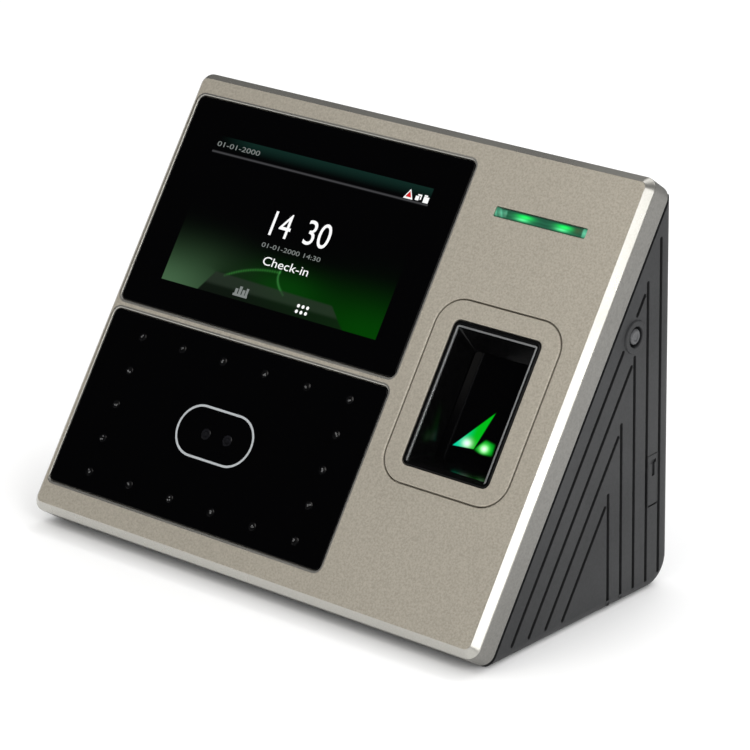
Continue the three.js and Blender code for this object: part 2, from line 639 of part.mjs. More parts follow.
// Moulded tray behind the opening in the rear wall. The connectors look through its floor.
function connectorBay() {
  const low = BAY.bottom - BAY.wall;
  const high = BAY.top + BAY.wall;
  const mouth = -HOUSING_WALL - GAP;
  const reach = BAY.halfWidth + BAY.wall;
  let bay = block(-reach, reach, -BAY.depth - BAY.wall, mouth, low, high);
  bay = bay.subtract(block(-BAY.halfWidth, BAY.halfWidth, -BAY.depth, 1, BAY.bottom, BAY.top));
  for (const [x, width, height] of Object.values(CONNECTORS)) {
    bay = bay.subtract(block(
      x - width / 2 - GAP, x + width / 2 + GAP, -BAY.depth - 4, -BAY.depth + 1,
      CONNECTOR_HEIGHT - height / 2 - GAP, CONNECTOR_HEIGHT + height / 2 + GAP,
    ));
  }
  bay = bay.subtract(rearRod(1.7, -BAY.depth - 4, -BAY.depth + 1, RESET.x, RESET.up, 8));
  return bay.subtract(rod(1.6, BAY.top - 1, high + 1, 0, -PLATE_TAB.screwDepth, 8));
}

add(terminal, 'rear_housing', rearHousing(), DARK_MOULDING);
add(rear, 'connector_bay', connectorBay(), DARK_MOULDING);

for (const [name, side] of [['housing_screw_left', -1], ['housing_screw_right', 1]]) {
  const screw = turned([[0, -18.9], [2.5, -18.6], [2.5, -16.8], [1.2, -16.8], [1.2, -5.4], [0, -5]], 12);
  add(face, name, screw.translate([side * HOUSING_SCREWS.x, HOUSING_SCREWS.up, 0]), BARE_STEEL);
}

// ---- power button and USB socket -----------------------------------------------------------------------

function powerButton() {
  const cap = turned([
    [0, 85.9], [1.5, 85.9], [1.5, 92], [4.2, 92], [4.2, 93.2], [BUTTON.radius, 93.2], [BUTTON.radius, 95.9],
    [BUTTON.radius - 0.5, 96.3], [0, 96.4],
  ], 20);
  return cap.rotate([0, 90, 0]).translate([0, -BUTTON.forward, BUTTON.up]);
}

const FLAP_OUTSIDE = halfWidth - HOUSING_INSET;

function usbFlap() {
  const radius = FLAP.thickness / 2;
  const y0 = -FLAP.forward - FLAP.width / 2;
  const y1 = -FLAP.forward + FLAP.width / 2;
  const leaf = block(FLAP_OUTSIDE - FLAP.thickness, FLAP_OUTSIDE, y0, y1, FLAP.bottom + radius, FLAP.top);
  const barrel = rod(radius, y0, y1, 0, 0, 10).rotate([-90, 0, 0])
    .translate([FLAP_OUTSIDE - radius, 0, FLAP.bottom + radius]);
  const middle = -FLAP.forward + 0.3;
  const outer = FLAP_OUTSIDE - 0.6;
  const bar = block(outer, FLAP_OUTSIDE + 1, middle - 1.5, middle + 1.5, 45.9, 47.2);
  const stem = block(outer, FLAP_OUTSIDE + 1, middle - 0.75, middle + 0.75, 41.4, 46.2);
  return leaf.add(barrel).subtract(bar).subtract(stem);
}

function usbSocket() {
  const x0 = SIDE_BOARD_X + 1.9;
  const x1 = 93.2;
  const y = -FLAP.forward;
  const shell = block(x0, x1, y - 2.35, y + 2.35, 33.7, 46.3);
  const mouth = block(x0 + 2, x1 + 1, y - 1.95, y + 1.95, 34.1, 45.9);
  const tongue = block(x0 + 1, x1 - 1.2, y - 1.2, y - 0.1, 35, 45);
  return shell.subtract(mouth).add(tongue);
}

add(rear, 'power_button', powerButton(), DARK_MOULDING);
add(rear, 'usb_flap', usbFlap(), BLACK_RUBBER);
add(rear, 'usb_socket', usbSocket(), BARE_STEEL);
add(rear, 'side_board', block(SIDE_BOARD_X, SIDE_BOARD_X + 1.6, -26, -4, 28, 99), CIRCUIT_BOARD);
add(rear, 'power_switch', block(
  SIDE_BOARD_X + 1.9, 84.4, -BUTTON.forward - 3, -BUTTON.forward + 3, BUTTON.up - 3, BUTTON.up + 3,
), GLOSS_MOULDING);

// ---- main board and connectors -------------------------------------------------------------------------

const BOARD_REAR = BOARD.rear;
const PARTS_REAR = BOARD_REAR + GAP; // pieces on the board's rear side start here
const PARTS_FRONT = BOARD_REAR - BOARD.thickness - GAP;

function mainBoard() {
  const front = BOARD_REAR - BOARD.thickness;
  let board = block(BOARD.left, BOARD.right, front, BOARD_REAR, BOARD.bottom, BOARD.top);
  for (const [x, z] of BOARD_FIXINGS) {
    board = board.subtract(rearRod(1.4, BOARD_REAR - 3, BOARD_REAR + 1, x, z, 8));
  }
  return board;
}

function connectorBlock(name, mouth) {
  const [x, width, height] = CONNECTORS[name];
  const low = CONNECTOR_HEIGHT - height / 2;
  return block(x - width / 2, x + width / 2, PARTS_REAR, mouth, low, low + height);
}

function terminalBlock(name) {
  const x = CONNECTORS[name][0];
  const mouth = -BAY.depth + 1;
  let body = connectorBlock(name, mouth);
  for (let pole = 0; pole < 4; pole += 1) {
    const centre = x + (pole - 1.5) * 5;
    body = body.subtract(block(centre - 1.5, centre + 1.5, mouth - 6, mouth + 1, 20.6, 23.8));
    body = body.subtract(rearRod(1.2, mouth - 2, mouth + 1, centre, 26.3, 8));
  }
  return body;
}

function ethernetSocket() {
  const x = CONNECTORS.ethernet_socket[0];
  const mouth = -BAY.depth + 0.6;
  const port = block(x - 6, x + 6, mouth - 11.5, mouth + 1, CONNECTOR_HEIGHT - 4.1, CONNECTOR_HEIGHT + 4.1);
  const latch = block(x - 3, x + 3, mouth - 8, mouth + 1, CONNECTOR_HEIGHT - 5.8, CONNECTOR_HEIGHT);
  return connectorBlock('ethernet_socket', mouth).subtract(port).subtract(latch);
}

function dcInlet() {
  const x = CONNECTORS.dc_inlet[0];
  const mouth = -BAY.depth + 1;
  const bore = rearRod(3.1, mouth - 9, mouth + 1, x, CONNECTOR_HEIGHT, 16);
  const pin = rearRod(1.05, mouth - 10, mouth - 1.5, x, CONNECTOR_HEIGHT, 10);
  return connectorBlock('dc_inlet', mouth).subtract(bore).add(pin);
}

add(rear, 'main_board', mainBoard(), CIRCUIT_BOARD);
add(rear, 'power_terminal', terminalBlock('power_terminal'), TERMINAL_GREEN);
add(rear, 'signal_terminal', terminalBlock('signal_terminal'), TERMINAL_GREEN);
add(rear, 'ethernet_socket', ethernetSocket(), BARE_STEEL);
add(rear, 'dc_inlet', dcInlet(), GLOSS_MOULDING);
add(rear, 'processor_shield', block(-20, 14, PARTS_FRONT - 3.2, PARTS_FRONT, 20, 54), BARE_STEEL);
add(rear, 'relay', block(-50, -31, PARTS_FRONT - 15, PARTS_FRONT, 24, 39.5), RELAY_BLUE);
BOARD_FIXINGS.forEach(([x, z], index) => {
  const head = PARTS_FRONT - 1.8;
  const screw = turned([
    [0, head], [2.4, head + 0.3], [2.4, PARTS_FRONT], [1, PARTS_FRONT], [1, -22.5], [0, -22],
  ], 10);
  add(rear, `board_screw_${index + 1}`, screw.rotate([-90, 0, 0]).translate([x, 0, z]), BARE_STEEL);
});

// ---- reset button and tamper plunger -------------------------------------------------------------------

function resetButton() {
  const tip = -BAY.depth - 0.6;
  const radius = 1.2;
  const collar = 2.6;
  const stem = turned([
    [0, -25.4], [radius, -25.4], [radius, -18], [collar, -18], [collar, -16.7], [radius, -16.7],
    [radius, tip], [0, tip],
  ], 12);
  return stem.rotate([-90, 0, 0]).translate([RESET.x, 0, RESET.up]);
}

function tamperPlunger() {
  const stem = turned([
    [0, -19.2], [1.5, -19.2], [1.5, -4.4], [3.8, -4.4], [3.8, -2.9], [2.3, -2.9],
    [2.3, TAMPER.stand - 0.5], [1.8, TAMPER.stand], [0, TAMPER.stand],
  ], 14);
  return stem.rotate([-90, 0, 0]).translate([TAMPER.x, 0, TAMPER.up]);
}

add(rear, 'reset_button', resetButton(), GLOSS_MOULDING);
add(rear, 'reset_switch', block(
  RESET.x - 2.5, RESET.x + 2.5, PARTS_REAR, -26.2, RESET.up - 2.5, RESET.up + 2.5,
), GLOSS_MOULDING);
add(rear, 'tamper_plunger', tamperPlunger(), GLOSS_MOULDING);
add(rear, 'tamper_switch', block(
  TAMPER.x - 3, TAMPER.x + 3, PARTS_REAR, -20.7, TAMPER.up - 3, TAMPER.up + 3,
), GLOSS_MOULDING);

// ---- battery and speaker on the base -------------------------------------------------------------------

const BASE_TOP = HOUSING_WALL + GAP;

function speaker() {
  const r = SPEAKER.radius;
  const driver = turned([
    [0, 1.2], [r * 0.35, 1.6], [r * 0.5, 0.4], [r * 0.85, 0], [r, 0], [r, 2], [r * 0.8, 4], [r * 0.55, 5],
    [r * 0.55, 8.5], [0, 8.5],
  ], 20);
  return driver.translate([SPEAKER.x, SPEAKER.y, BASE_TOP]);
}

function battery() {
  const pack = roundedRectangle(BATTERY.left, BATTERY.right, BATTERY.front, BATTERY.back, 1.5);
  return plate(pack, BASE_TOP, BASE_TOP + BATTERY.height, 1);
}

add(terminal, 'speaker', speaker(), GLOSS_MOULDING);
add(terminal, 'backup_battery', battery(), BATTERY_WRAP);

// ---- wall plate ----------------------------------------------------------------------------------------

// Steel plate that is screwed to a wall first. Its hooks go through slots in the housing, and a screw driven
// up through the bay's ceiling holds its bent tab.
function wallPlate() {
  const outline = roundedRectangle(
    -PLATE.halfWidth + GAP, PLATE.halfWidth - GAP, PLATE.bottom + GAP, PLATE.top - GAP, PLATE.corner - GAP,
  );
  let steel = plate(outline, 0, PLATE.thickness, 2).rotate([90, 0, 0]);
  for (const [x, z] of PLATE_HOLES) steel = steel.subtract(rearRod(PLATE_HOLE_RADIUS, -3, 2, x, z, 12));
  const lipBack = -PLATE.pocket - HOUSING_WALL - GAP - PLATE.thickness;
  for (const side of [-1, 1]) {
    const x0 = side * HOOK.x - HOOK.width / 2;
    const x1 = side * HOOK.x + HOOK.width / 2;
    steel = steel.subtract(block(x0 - GAP, x1 + GAP, -3, 1, HOOK.up - HOOK.lip, HOOK.up));
    steel = steel.add(block(x0, x1, lipBack, 0, HOOK.up, HOOK.up + PLATE.thickness));
    steel = steel.add(block(x0, x1, lipBack, lipBack + PLATE.thickness, HOOK.up, HOOK.up + HOOK.lip));
  }
  const tabFoot = PLATE.bottom + GAP;
  const { halfWidth: reach, reach: depth, screwDepth } = PLATE_TAB;
  steel = steel.add(block(-reach, reach, -depth, 0, tabFoot, tabFoot + PLATE.thickness));
  return steel.subtract(rod(1.6, tabFoot - 1, tabFoot + 3, 0, -screwDepth, 8));
}

function plateScrew() {
  const headTop = BAY.top - GAP;
  const shank = 1.25;
  const profile = [
    [0, headTop - 1.8], [2.4, headTop - 1.6], [2.6, headTop], [shank, headTop],
    [shank, headTop + 9.5], [0, headTop + 10],
  ];
  return turned(profile, 12).translate([0, -PLATE_TAB.screwDepth, 0]);
}

add(rear, 'wall_plate', wallPlate(), BARE_STEEL);
add(rear, 'wall_plate_screw', plateScrew(), BARE_STEEL);

export default terminal;
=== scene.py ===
import math

import bmesh
import bpy
import numpy as np
from mathutils import Matrix, Vector
from mathutils.geometry import delaunay_2d_cdt


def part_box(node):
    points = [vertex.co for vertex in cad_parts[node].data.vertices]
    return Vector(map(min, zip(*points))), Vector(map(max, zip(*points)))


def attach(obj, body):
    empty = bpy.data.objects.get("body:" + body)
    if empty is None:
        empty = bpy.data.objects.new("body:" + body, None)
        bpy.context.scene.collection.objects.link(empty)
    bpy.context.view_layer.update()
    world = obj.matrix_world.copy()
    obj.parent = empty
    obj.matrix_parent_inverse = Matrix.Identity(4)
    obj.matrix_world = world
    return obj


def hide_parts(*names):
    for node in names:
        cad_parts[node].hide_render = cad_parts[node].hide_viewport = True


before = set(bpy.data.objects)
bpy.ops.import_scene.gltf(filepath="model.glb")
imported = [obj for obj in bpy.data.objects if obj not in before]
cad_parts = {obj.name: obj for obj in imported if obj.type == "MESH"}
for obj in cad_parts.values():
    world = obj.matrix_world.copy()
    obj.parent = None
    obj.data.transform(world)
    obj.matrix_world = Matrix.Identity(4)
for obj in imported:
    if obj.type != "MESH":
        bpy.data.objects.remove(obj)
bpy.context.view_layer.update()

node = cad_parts

# ---- Studio -------------------------------------------------------------------------------------------
# A pale floor under a white sky that shows only weakly in reflections, a long lens to the right and
# above, and three soft boxes: a tall one on the right for the bevel and the grooved side, a small one
# close above the sloping face, and one behind for the top edge.

DEG = math.radians(1)
camera_azimuth = 39.06 * DEG
camera_elevation = 19.72 * DEG
camera_roll = 1.16 * DEG
camera_place = Vector((0.6899, -0.8360, 0.4523))
sensor_width = 36.0
lens_length = 165.6

back = Vector((
    math.sin(camera_azimuth) * math.cos(camera_elevation),
    -math.cos(camera_azimuth) * math.cos(camera_elevation),
    math.sin(camera_elevation),
))
level = Vector((math.cos(camera_azimuth), math.sin(camera_azimuth), 0.0))
upright = back.cross(level)
right = level * math.cos(camera_roll) + upright * math.sin(camera_roll)
up = upright * math.cos(camera_roll) - level * math.sin(camera_roll)
camera = bpy.data.objects.new("camera", bpy.data.cameras.new("camera"))
camera.data.sensor_width = sensor_width
camera.data.lens = lens_length
camera.data.clip_start = 0.05
camera.matrix_world = Matrix.Translation(camera_place) @ Matrix((right, up, back)).transposed().to_4x4()
bpy.context.scene.collection.objects.link(camera)
bpy.context.scene.camera = camera


def soft_box(name, place, target, width, height, power, colour=(1.0, 1.0, 1.0)):
    """Rectangular area light at place, turned so that its face looks at target."""
    lamp = bpy.data.lights.new(name, "AREA")
    lamp.shape = "RECTANGLE"
    lamp.size = width
    lamp.size_y = height
    lamp.energy = power
    lamp.color = colour
    box = bpy.data.objects.new(name, lamp)
    aim = (Vector(place) - Vector(target)).to_track_quat("Z", "Y")
    box.matrix_world = Matrix.Translation(place) @ aim.to_matrix().to_4x4()
    box.visible_camera = False
    bpy.context.scene.collection.objects.link(box)


soft_box("side_box", (1.05, -0.55, 0.62), (0.05, 0.0, 0.07), 0.34, 0.95, 5.0)
soft_box("face_box", (-0.05, -0.47, 0.66), (0.0, 0.03, 0.15), 0.5, 0.32, 0.92, (1.0, 0.97, 0.92))
soft_box("top_box", (0.1, 0.75, 1.1), (0.0, 0.0, 0.1), 1.2, 0.6, 5.0)

sky = bpy.data.worlds.new("sky")
sky.use_nodes = True
sky_tree = sky.node_tree
sky_tree.nodes["Background"].inputs["Color"].default_value = (1.0, 1.0, 1.0, 1.0)
sky_path = sky_tree.nodes.new("ShaderNodeLightPath")
sky_strength = sky_tree.nodes.new("ShaderNodeMapRange")
sky_strength.inputs["To Min"].default_value = 0.95
sky_strength.inputs["To Max"].default_value = 0.012
sky_tree.links.new(sky_path.outputs["Is Glossy Ray"], sky_strength.inputs["Value"])
sky_tree.links.new(sky_strength.outputs["Result"], sky_tree.nodes["Background"].inputs["Strength"])
bpy.context.scene.world = sky
bpy.context.scene.view_settings.view_transform = "Standard"


def set_inputs(shader_node, values):
    """Start values for some of a node's inputs, by their names."""
    for label, value in values.items():
        shader_node.inputs[label].default_value = value


def new_material(name, values):
    """A material with its shader's inputs set; gives the material and the shader."""
    material = bpy.data.materials.new(name)
    material.use_nodes = True
    shader = material.node_tree.nodes["Principled BSDF"]
    set_inputs(shader, values)
    return material, shader


def add_node(tree, kind, values):
    """A new node of a kind with some of its inputs set."""
    made = tree.nodes.new(kind)
    set_inputs(made, values)
    return made


floor_material, _ = new_material("pale_floor", {
    "Base Color": (0.93, 0.93, 0.93, 1.0), "Roughness": 0.9,
})
floor_half = 6.0
floor_level = -0.0002
floor_mesh = bpy.data.meshes.new("floor")
floor_corners = [
    (x * floor_half, y * floor_half, floor_level) for x, y in [(-1, -1), (1, -1), (1, 1), (-1, 1)]
]
floor_mesh.from_pydata(floor_corners, [], [(0, 1, 2, 3)])
floor_mesh.materials.append(floor_material)
floor = bpy.data.objects.new("floor", floor_mesh)
bpy.context.scene.collection.objects.link(floor)

# ---- Front tray ---------------------------------------------------------------------------------------
# One moulding in fine-grained metallic paint: a flat sloping face with a bevel and a rim wall round it,
# openings for the two windows and the reader, and a slot for the status light. It holds every front part
# on ledges behind the face.

MM = 0.001
face_slope = 57.25 * DEG
face_width = 193.6
face_length = 163.6
tray_depth = 11.8
tray_bevel = 2.5
tray_corner = 4.5
tray_wall = 2.4
tray_skin = 3.0
seat_depth = 2.1
ledge = 1.2

tray_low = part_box("front_bezel")[0]
face_axes = np.array([
    [1.0, 0.0, 0.0],
    [0.0, math.cos(face_slope), math.sin(face_slope)],
    [0.0, -math.sin(face_slope), math.cos(face_slope)],
])
face_corner = np.array([
    tray_low.x,
    tray_low.y - tray_bevel * MM * math.cos(face_slope),
    tray_low.z + tray_depth * MM * math.cos(face_slope),
])


def on_face(points):
    """From (right of the left edge, up the face, out of it) in mm to the row frame: corner + right, up
    and out steps."""
    return face_corner + MM * (np.asarray(points, float) @ face_axes)


def filleted(corners, radii, steps=4):
    """Open path of straight runs with its inner corners rounded: each corner becomes an arc that leaves
    the two runs at radius * tan(half the turn) from the corner, with its centre on the corner's
    bisector."""
    corners = np.asarray(corners, float)
    path = [corners[:1]]
    for before, corner, after, radius in zip(corners[:-2], corners[1:-1], corners[2:], radii):
        inwards = (before - corner) / np.linalg.norm(before - corner)
        onwards = (after - corner) / np.linalg.norm(after - corner)
        half_angle = 0.5 * math.acos(np.clip(inwards @ onwards, -1, 1))
        bisector = (inwards + onwards) / np.linalg.norm(inwards + onwards)
        centre = corner + bisector * radius / math.sin(half_angle)
        start = corner + inwards * radius / math.tan(half_angle) - centre
        end = corner + onwards * radius / math.tan(half_angle) - centre
        share = np.linspace(0, 1, steps + 1)[:, None]
        sweep = math.pi - 2 * half_angle
        arc = (np.sin((1 - share) * sweep) * start + np.sin(share * sweep) * end) / math.sin(sweep)
        path.append(centre + arc)
    path.append(corners[-1:])
    return np.concatenate(path)


def swept_rim(section, left, right, low, high, radius, steps=8):
    """Profile carried round a rounded rectangle: each section point (inset, level) becomes a closed loop
    that lies inset inside the rectangle, at that level, with its corners' radius less the inset."""
    inset, height = np.asarray(section, float).T[:, :, None]
    turn = (np.linspace(0, 90, steps + 1) + 90 * np.arange(4)[:, None]).ravel() * DEG
    to_right = np.repeat([1, -1, -1, 1], steps + 1)
    to_top = np.repeat([1, 1, -1, -1], steps + 1)
    bend = np.maximum(radius - inset, 0.03)
    across = (left + right) / 2 + to_right * ((right - left) / 2 - inset - bend) + bend * np.cos(turn)
    along = (low + high) / 2 + to_top * ((high - low) / 2 - inset - bend) + bend * np.sin(turn)
    return np.stack([across, along, height + 0 * across], axis=-1)


def band(loops, closed=True):
    """Quads between each loop and the next, point to point."""
    rows, columns = loops.shape[:2]
    index = np.arange(rows * columns).reshape(rows, columns)
    if closed:
        index = np.column_stack([index, index[:, 0]])
    quads = np.stack([index[:-1, :-1], index[:-1, 1:], index[1:, 1:], index[1:, :-1]], axis=-1)
    return loops.reshape(-1, loops.shape[-1]), quads.reshape(-1, 4)


def inside(points, loop):
    """Even-odd rule: a point is inside when a ray to the right of it crosses the loop's edges an odd
    number of times."""
    x, y = points.T[:, :, None]
    x0, y0 = loop.T
    x1, y1 = np.roll(loop, -1, axis=0).T
    spans = (y0 > y) != (y1 > y)
    crossing = x0 + (y - y0) * (x1 - x0) / np.where(y1 == y0, 1, y1 - y0)
    return (spans & (x < crossing)).sum(axis=1) % 2 == 1


def flat_sheet(outline, holes, height):
    """Flat sheet with openings: Delaunay triangles inside the outline, less those whose middle lies in a
    hole."""
    loops = [np.asarray(loop)[:, :2] for loop in (outline, *holes)]
    points = np.concatenate(loops)
    starts = np.cumsum([0] + [len(loop) for loop in loops])
    edges = np.concatenate([
        np.stack([np.arange(a, b), np.roll(np.arange(a, b), -1)], axis=-1)
        for a, b in zip(starts, starts[1:])
    ])
    found = delaunay_2d_cdt(points.tolist(), edges.tolist(), [], 1, 1e-7)
    flat = np.array([tuple(p) for p in found[0]])
    triangles = np.array(found[2])
    middle = flat[triangles].mean(axis=1)
    keep = inside(middle, loops[0])
    for hole in loops[1:]:
        keep &= ~inside(middle, hole)
    return np.column_stack([flat, np.full(len(flat), height)]), triangles[keep]


def placed(place, *parts):
    """The same parts with their points moved by a place function."""
    return [(place(points), faces) for points, faces in parts]


def joined(parts):
    """Several parts as one: all their points, and all their faces numbered on."""
    counts = np.cumsum([0] + [len(points) for points, faces in parts])
    faces = [face for start, (_, part) in zip(counts, parts) for face in (part + start).tolist()]
    return np.concatenate([points for points, faces in parts]), faces


def new_piece(name, mesh, body="housing"):
    """The mesh as an object in the scene that rides a body."""
    piece = bpy.data.objects.new(name, mesh)
    bpy.context.scene.collection.objects.link(piece)
    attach(piece, body)
    return piece


def solid(name, parts, *materials, finish=None, crease=28, body="housing", slot=None):
    """Joins parts given in the row frame into one mesh object: welds shared points, turns the faces
    outwards, and shades round stretches smooth, with flat stretches kept flat by area-weighted normals.
    finish gives each part the number of its material."""
    points, faces = joined(parts)
    mesh = bpy.data.meshes.new(name)
    mesh.from_pydata(points.tolist(), [], faces)
    numbers = np.repeat(finish or [0] * len(parts), [len(faces) for points, faces in parts])
    mesh.polygons.foreach_set("material_index", numbers)
    work = bmesh.new()
    work.from_mesh(mesh)
    bmesh.ops.remove_doubles(work, verts=work.verts, dist=2e-6)
    bmesh.ops.recalc_face_normals(work, faces=work.faces)
    work.to_mesh(mesh)
    work.free()
    mesh.polygons.foreach_set("use_smooth", np.ones(len(mesh.polygons), bool))
    mesh.set_sharp_from_angle(angle=crease * DEG)
    for material in materials:
        mesh.materials.append(material)
    piece = new_piece(name, mesh, body)
    weighted = piece.modifiers.new("flat_stays_flat", "WEIGHTED_NORMAL")
    weighted.keep_sharp = True
    return piece


def new_group(name, inputs, outputs):
    """A shader node group with named float inputs (name, start value) and named outputs (name, socket
    type)."""
    group = bpy.data.node_groups.new(name, "ShaderNodeTree")
    for label, value in inputs:
        socket = group.interface.new_socket(label, in_out="INPUT", socket_type="NodeSocketFloat")
        socket.default_value = value
    for label, kind in outputs:
        group.interface.new_socket(label, in_out="OUTPUT", socket_type=kind)
    return group, group.nodes.new("NodeGroupInput"), group.nodes.new("NodeGroupOutput")


# Fine grain: two sizes of noise on the piece's own coordinates, as a 0-to-1 mask and as a bumped normal.
fine_grain, grain_in, grain_out = new_group(
    "fine_grain", [("Grains per metre", 1500.0), ("Bump height", 0.02)],
    [("Mask", "NodeSocketFloat"), ("Normal", "NodeSocketVector")],
)
grain_place = fine_grain.nodes.new("ShaderNodeTexCoord")
grain_noise = add_node(fine_grain, "ShaderNodeTexNoise", {"Detail": 3.0, "Roughness": 0.65})
fine_grain.links.new(grain_place.outputs["Object"], grain_noise.inputs["Vector"])
fine_grain.links.new(grain_in.outputs["Grains per metre"], grain_noise.inputs["Scale"])
grain_bump = add_node(fine_grain, "ShaderNodeBump", {"Distance": 0.00005})
fine_grain.links.new(grain_in.outputs["Bump height"], grain_bump.inputs["Strength"])
fine_grain.links.new(grain_noise.outputs["Fac"], grain_bump.inputs["Height"])
grain_spread = add_node(fine_grain, "ShaderNodeMapRange", {"From Min": 0.36, "From Max": 0.64})
fine_grain.links.new(grain_noise.outputs["Fac"], grain_spread.inputs["Value"])
fine_grain.links.new(grain_spread.outputs["Result"], grain_out.inputs["Mask"])
fine_grain.links.new(grain_bump.outputs["Normal"], grain_out.inputs["Normal"])

# Handling marks: large soft patches where a surface is a little smoother, from slow noise, as a 0-to-1
# mask.
soft_marks, marks_in, marks_out = new_group(
    "soft_marks", [("Patches per metre", 25.0)], [("Mask", "NodeSocketFloat")],
)
marks_place = soft_marks.nodes.new("ShaderNodeTexCoord")
marks_noise = add_node(soft_marks, "ShaderNodeTexNoise", {"Detail": 4.0})
soft_marks.links.new(marks_place.outputs["Object"], marks_noise.inputs["Vector"])
soft_marks.links.new(marks_in.outputs["Patches per metre"], marks_noise.inputs["Scale"])
marks_spread = add_node(soft_marks, "ShaderNodeMapRange", {"From Min": 0.35, "From Max": 0.65})
soft_marks.links.new(marks_noise.outputs["Fac"], marks_spread.inputs["Value"])
soft_marks.links.new(marks_spread.outputs["Result"], marks_out.inputs["Mask"])


def grained(
    name, dark, light, rough, metallic=0.0, grains=1500.0, bump=0.1, rough_change=0.08, specular=0.5,
):
    """A painted, moulded or metal finish: colour runs from dark to light with the grain, and roughness
    from rough upwards by rough_change with the soft marks."""
    material, shader = new_material(name, {"Metallic": metallic, "Specular IOR Level": specular})
    tree = material.node_tree
    grain = tree.nodes.new("ShaderNodeGroup")
    grain.node_tree = fine_grain
    set_inputs(grain, {"Grains per metre": grains, "Bump height": bump})
    marks = tree.nodes.new("ShaderNodeGroup")
    marks.node_tree = soft_marks
    set_inputs(marks, {"Patches per metre": 25.0})
    colour = tree.nodes.new("ShaderNodeMix")
    colour.data_type = "RGBA"
    set_inputs(colour, {"A": (*dark, 1.0), "B": (*light, 1.0)})
    tree.links.new(grain.outputs["Mask"], colour.inputs["Factor"])
    tree.links.new(colour.outputs["Result"], shader.inputs["Base Color"])
    roughness = add_node(tree, "ShaderNodeMapRange", {"To Min": rough, "To Max": rough + rough_change})
    tree.links.new(marks.outputs["Mask"], roughness.inputs["Value"])
    tree.links.new(roughness.outputs["Result"], shader.inputs["Roughness"])
    tree.links.new(grain.outputs["Normal"], shader.inputs["Normal"])
    return material


silver_paint = grained(
    "silver_paint", (0.375, 0.342, 0.282), (0.485, 0.446, 0.372), 0.40, 0.40, grains=1400.0, bump=0.35,
)

bright_edge = grained(
    "bright_edge", (0.43, 0.42, 0.385), (0.47, 0.46, 0.425), 0.24, 0.78, grains=1800.0, bump=0.05,
)

# The rim wall takes a copy of the silver paint at about half its brightness: painted shade on the wall.
shaded_rim_paint = grained(
    "shaded_rim_paint", (0.19, 0.185, 0.172), (0.235, 0.23, 0.213), 0.42, 0.5, grains=1400.0, bump=0.3,
)

display_opening = (3.8, 126.0, 78.0, 155.0, 2.5)
camera_opening = (3.8, 126.0, 10.5, 75.0, 2.5)
reader_opening = (133.0, 183.6, 46.0, 110.0, 10.0)
light_slot = (139.6, 176.4, 138.5, 142.1, 0.6)

rim_section = filleted(
    [(tray_bevel + 1.2, 0), (tray_bevel, 0), (0, -tray_bevel), (0, -tray_depth + 0.7), (0.7, -tray_depth),
     (tray_wall, -tray_depth), (tray_wall, -tray_skin)],
    [0.5, 0.7, 0.25, 0.25, 0.1],
)
seat_section = filleted(
    [(-0.9, 0), (0, 0), (0, -seat_depth), (ledge, -seat_depth), (ledge, -tray_skin)],
    [0.5, 0.1, 0.1], steps=6,
)
slot_section = filleted([(-0.6, 0), (0, 0), (0, -tray_skin)], [0.2])

rim = swept_rim(rim_section, 0, face_width, 0, face_length, tray_corner)
seat_openings = (display_opening, camera_opening, reader_opening)
seats = [swept_rim(seat_section, *opening) for opening in seat_openings]
seats.append(swept_rim(slot_section, *light_slot))
face_end, bevel_end = 3, 9
opening_edge = 9
# Material numbers: the face's paint, the bright metal of the bevel and window edges, and the painted
# shade of the rim wall.
paint, bright, rim_shade = 0, 1, 2
tray_finish = [paint, bright, rim_shade, bright, bright] + [paint] * (len(seats) + 4)
tray = solid("front_tray", placed(
    on_face,
    band(rim[:face_end + 1]),
    band(rim[face_end:bevel_end + 1]),
    band(rim[bevel_end:]),
    *[band(seat[:opening_edge]) for seat in seats],
    *[band(seat[opening_edge - 1:]) for seat in seats],
    flat_sheet(rim[0], [seat[0] for seat in seats], 0),
    flat_sheet(rim[-1], [seat[-1] for seat in seats], -tray_skin),
), silver_paint, bright_edge, shaded_rim_paint, finish=tray_finish, slot="silver_paint")
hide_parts("front_bezel")

# ---- Seam gasket --------------------------------------------------------------------------------------
# Soft black rubber cord pressed between the tray's rim and the housing. It shows as a dark line that
# runs all round.

rubber = grained(
    "black_rubber", (0.002, 0.002, 0.002), (0.004, 0.004, 0.004), 0.75, grains=900.0, bump=0.3,
)

cord_thickness = 1.2
cord_outer, cord_inner = 1.3, 2.9
cord_top = -tray_depth - 0.05
cord_foot = cord_top - cord_thickness
cord_section = filleted(
    [(cord_outer, cord_top), (cord_outer, cord_foot), (cord_inner, cord_foot), (cord_inner, cord_top),
     (cord_outer, cord_top)],
    [0.4, 0.4, 0.4],
)
gasket = solid("seam_cord", placed(
    on_face, band(swept_rim(cord_section, 0, face_width, 0, face_length, tray_corner)),
), rubber, slot="black_rubber")
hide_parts("front_gasket")


def refinish(material, *names):
    """Gives CAD nodes whose shape stays their finish."""
    for name in names:
        node[name].data.materials.clear()
        node[name].data.materials.append(material)


# ---- Display window -----------------------------------------------------------------------------------
# Chemically blackened cover glass, 1.5 mm thick, bonded on the tray's ledge. The lit picture of the 4.3
# inch panel is laminated to it: a clock face over a green glow, with a status bar above and a dock with
# two icons below.

near_black = (0.0008, 0.0008, 0.001, 1.0)
gloss_black, gloss_shader = new_material("black_glass", {
    "Base Color": near_black, "Specular IOR Level": 0.2,
})
gloss_tree = gloss_black.node_tree
glass_marks = gloss_tree.nodes.new("ShaderNodeGroup")
glass_marks.node_tree = soft_marks
set_inputs(glass_marks, {"Patches per metre": 60.0})
glass_roughness = add_node(gloss_tree, "ShaderNodeMapRange", {"To Min": 0.05, "To Max": 0.09})
gloss_tree.links.new(glass_marks.outputs["Mask"], glass_roughness.inputs["Value"])
gloss_tree.links.new(glass_roughness.outputs["Result"], gloss_shader.inputs["Roughness"])

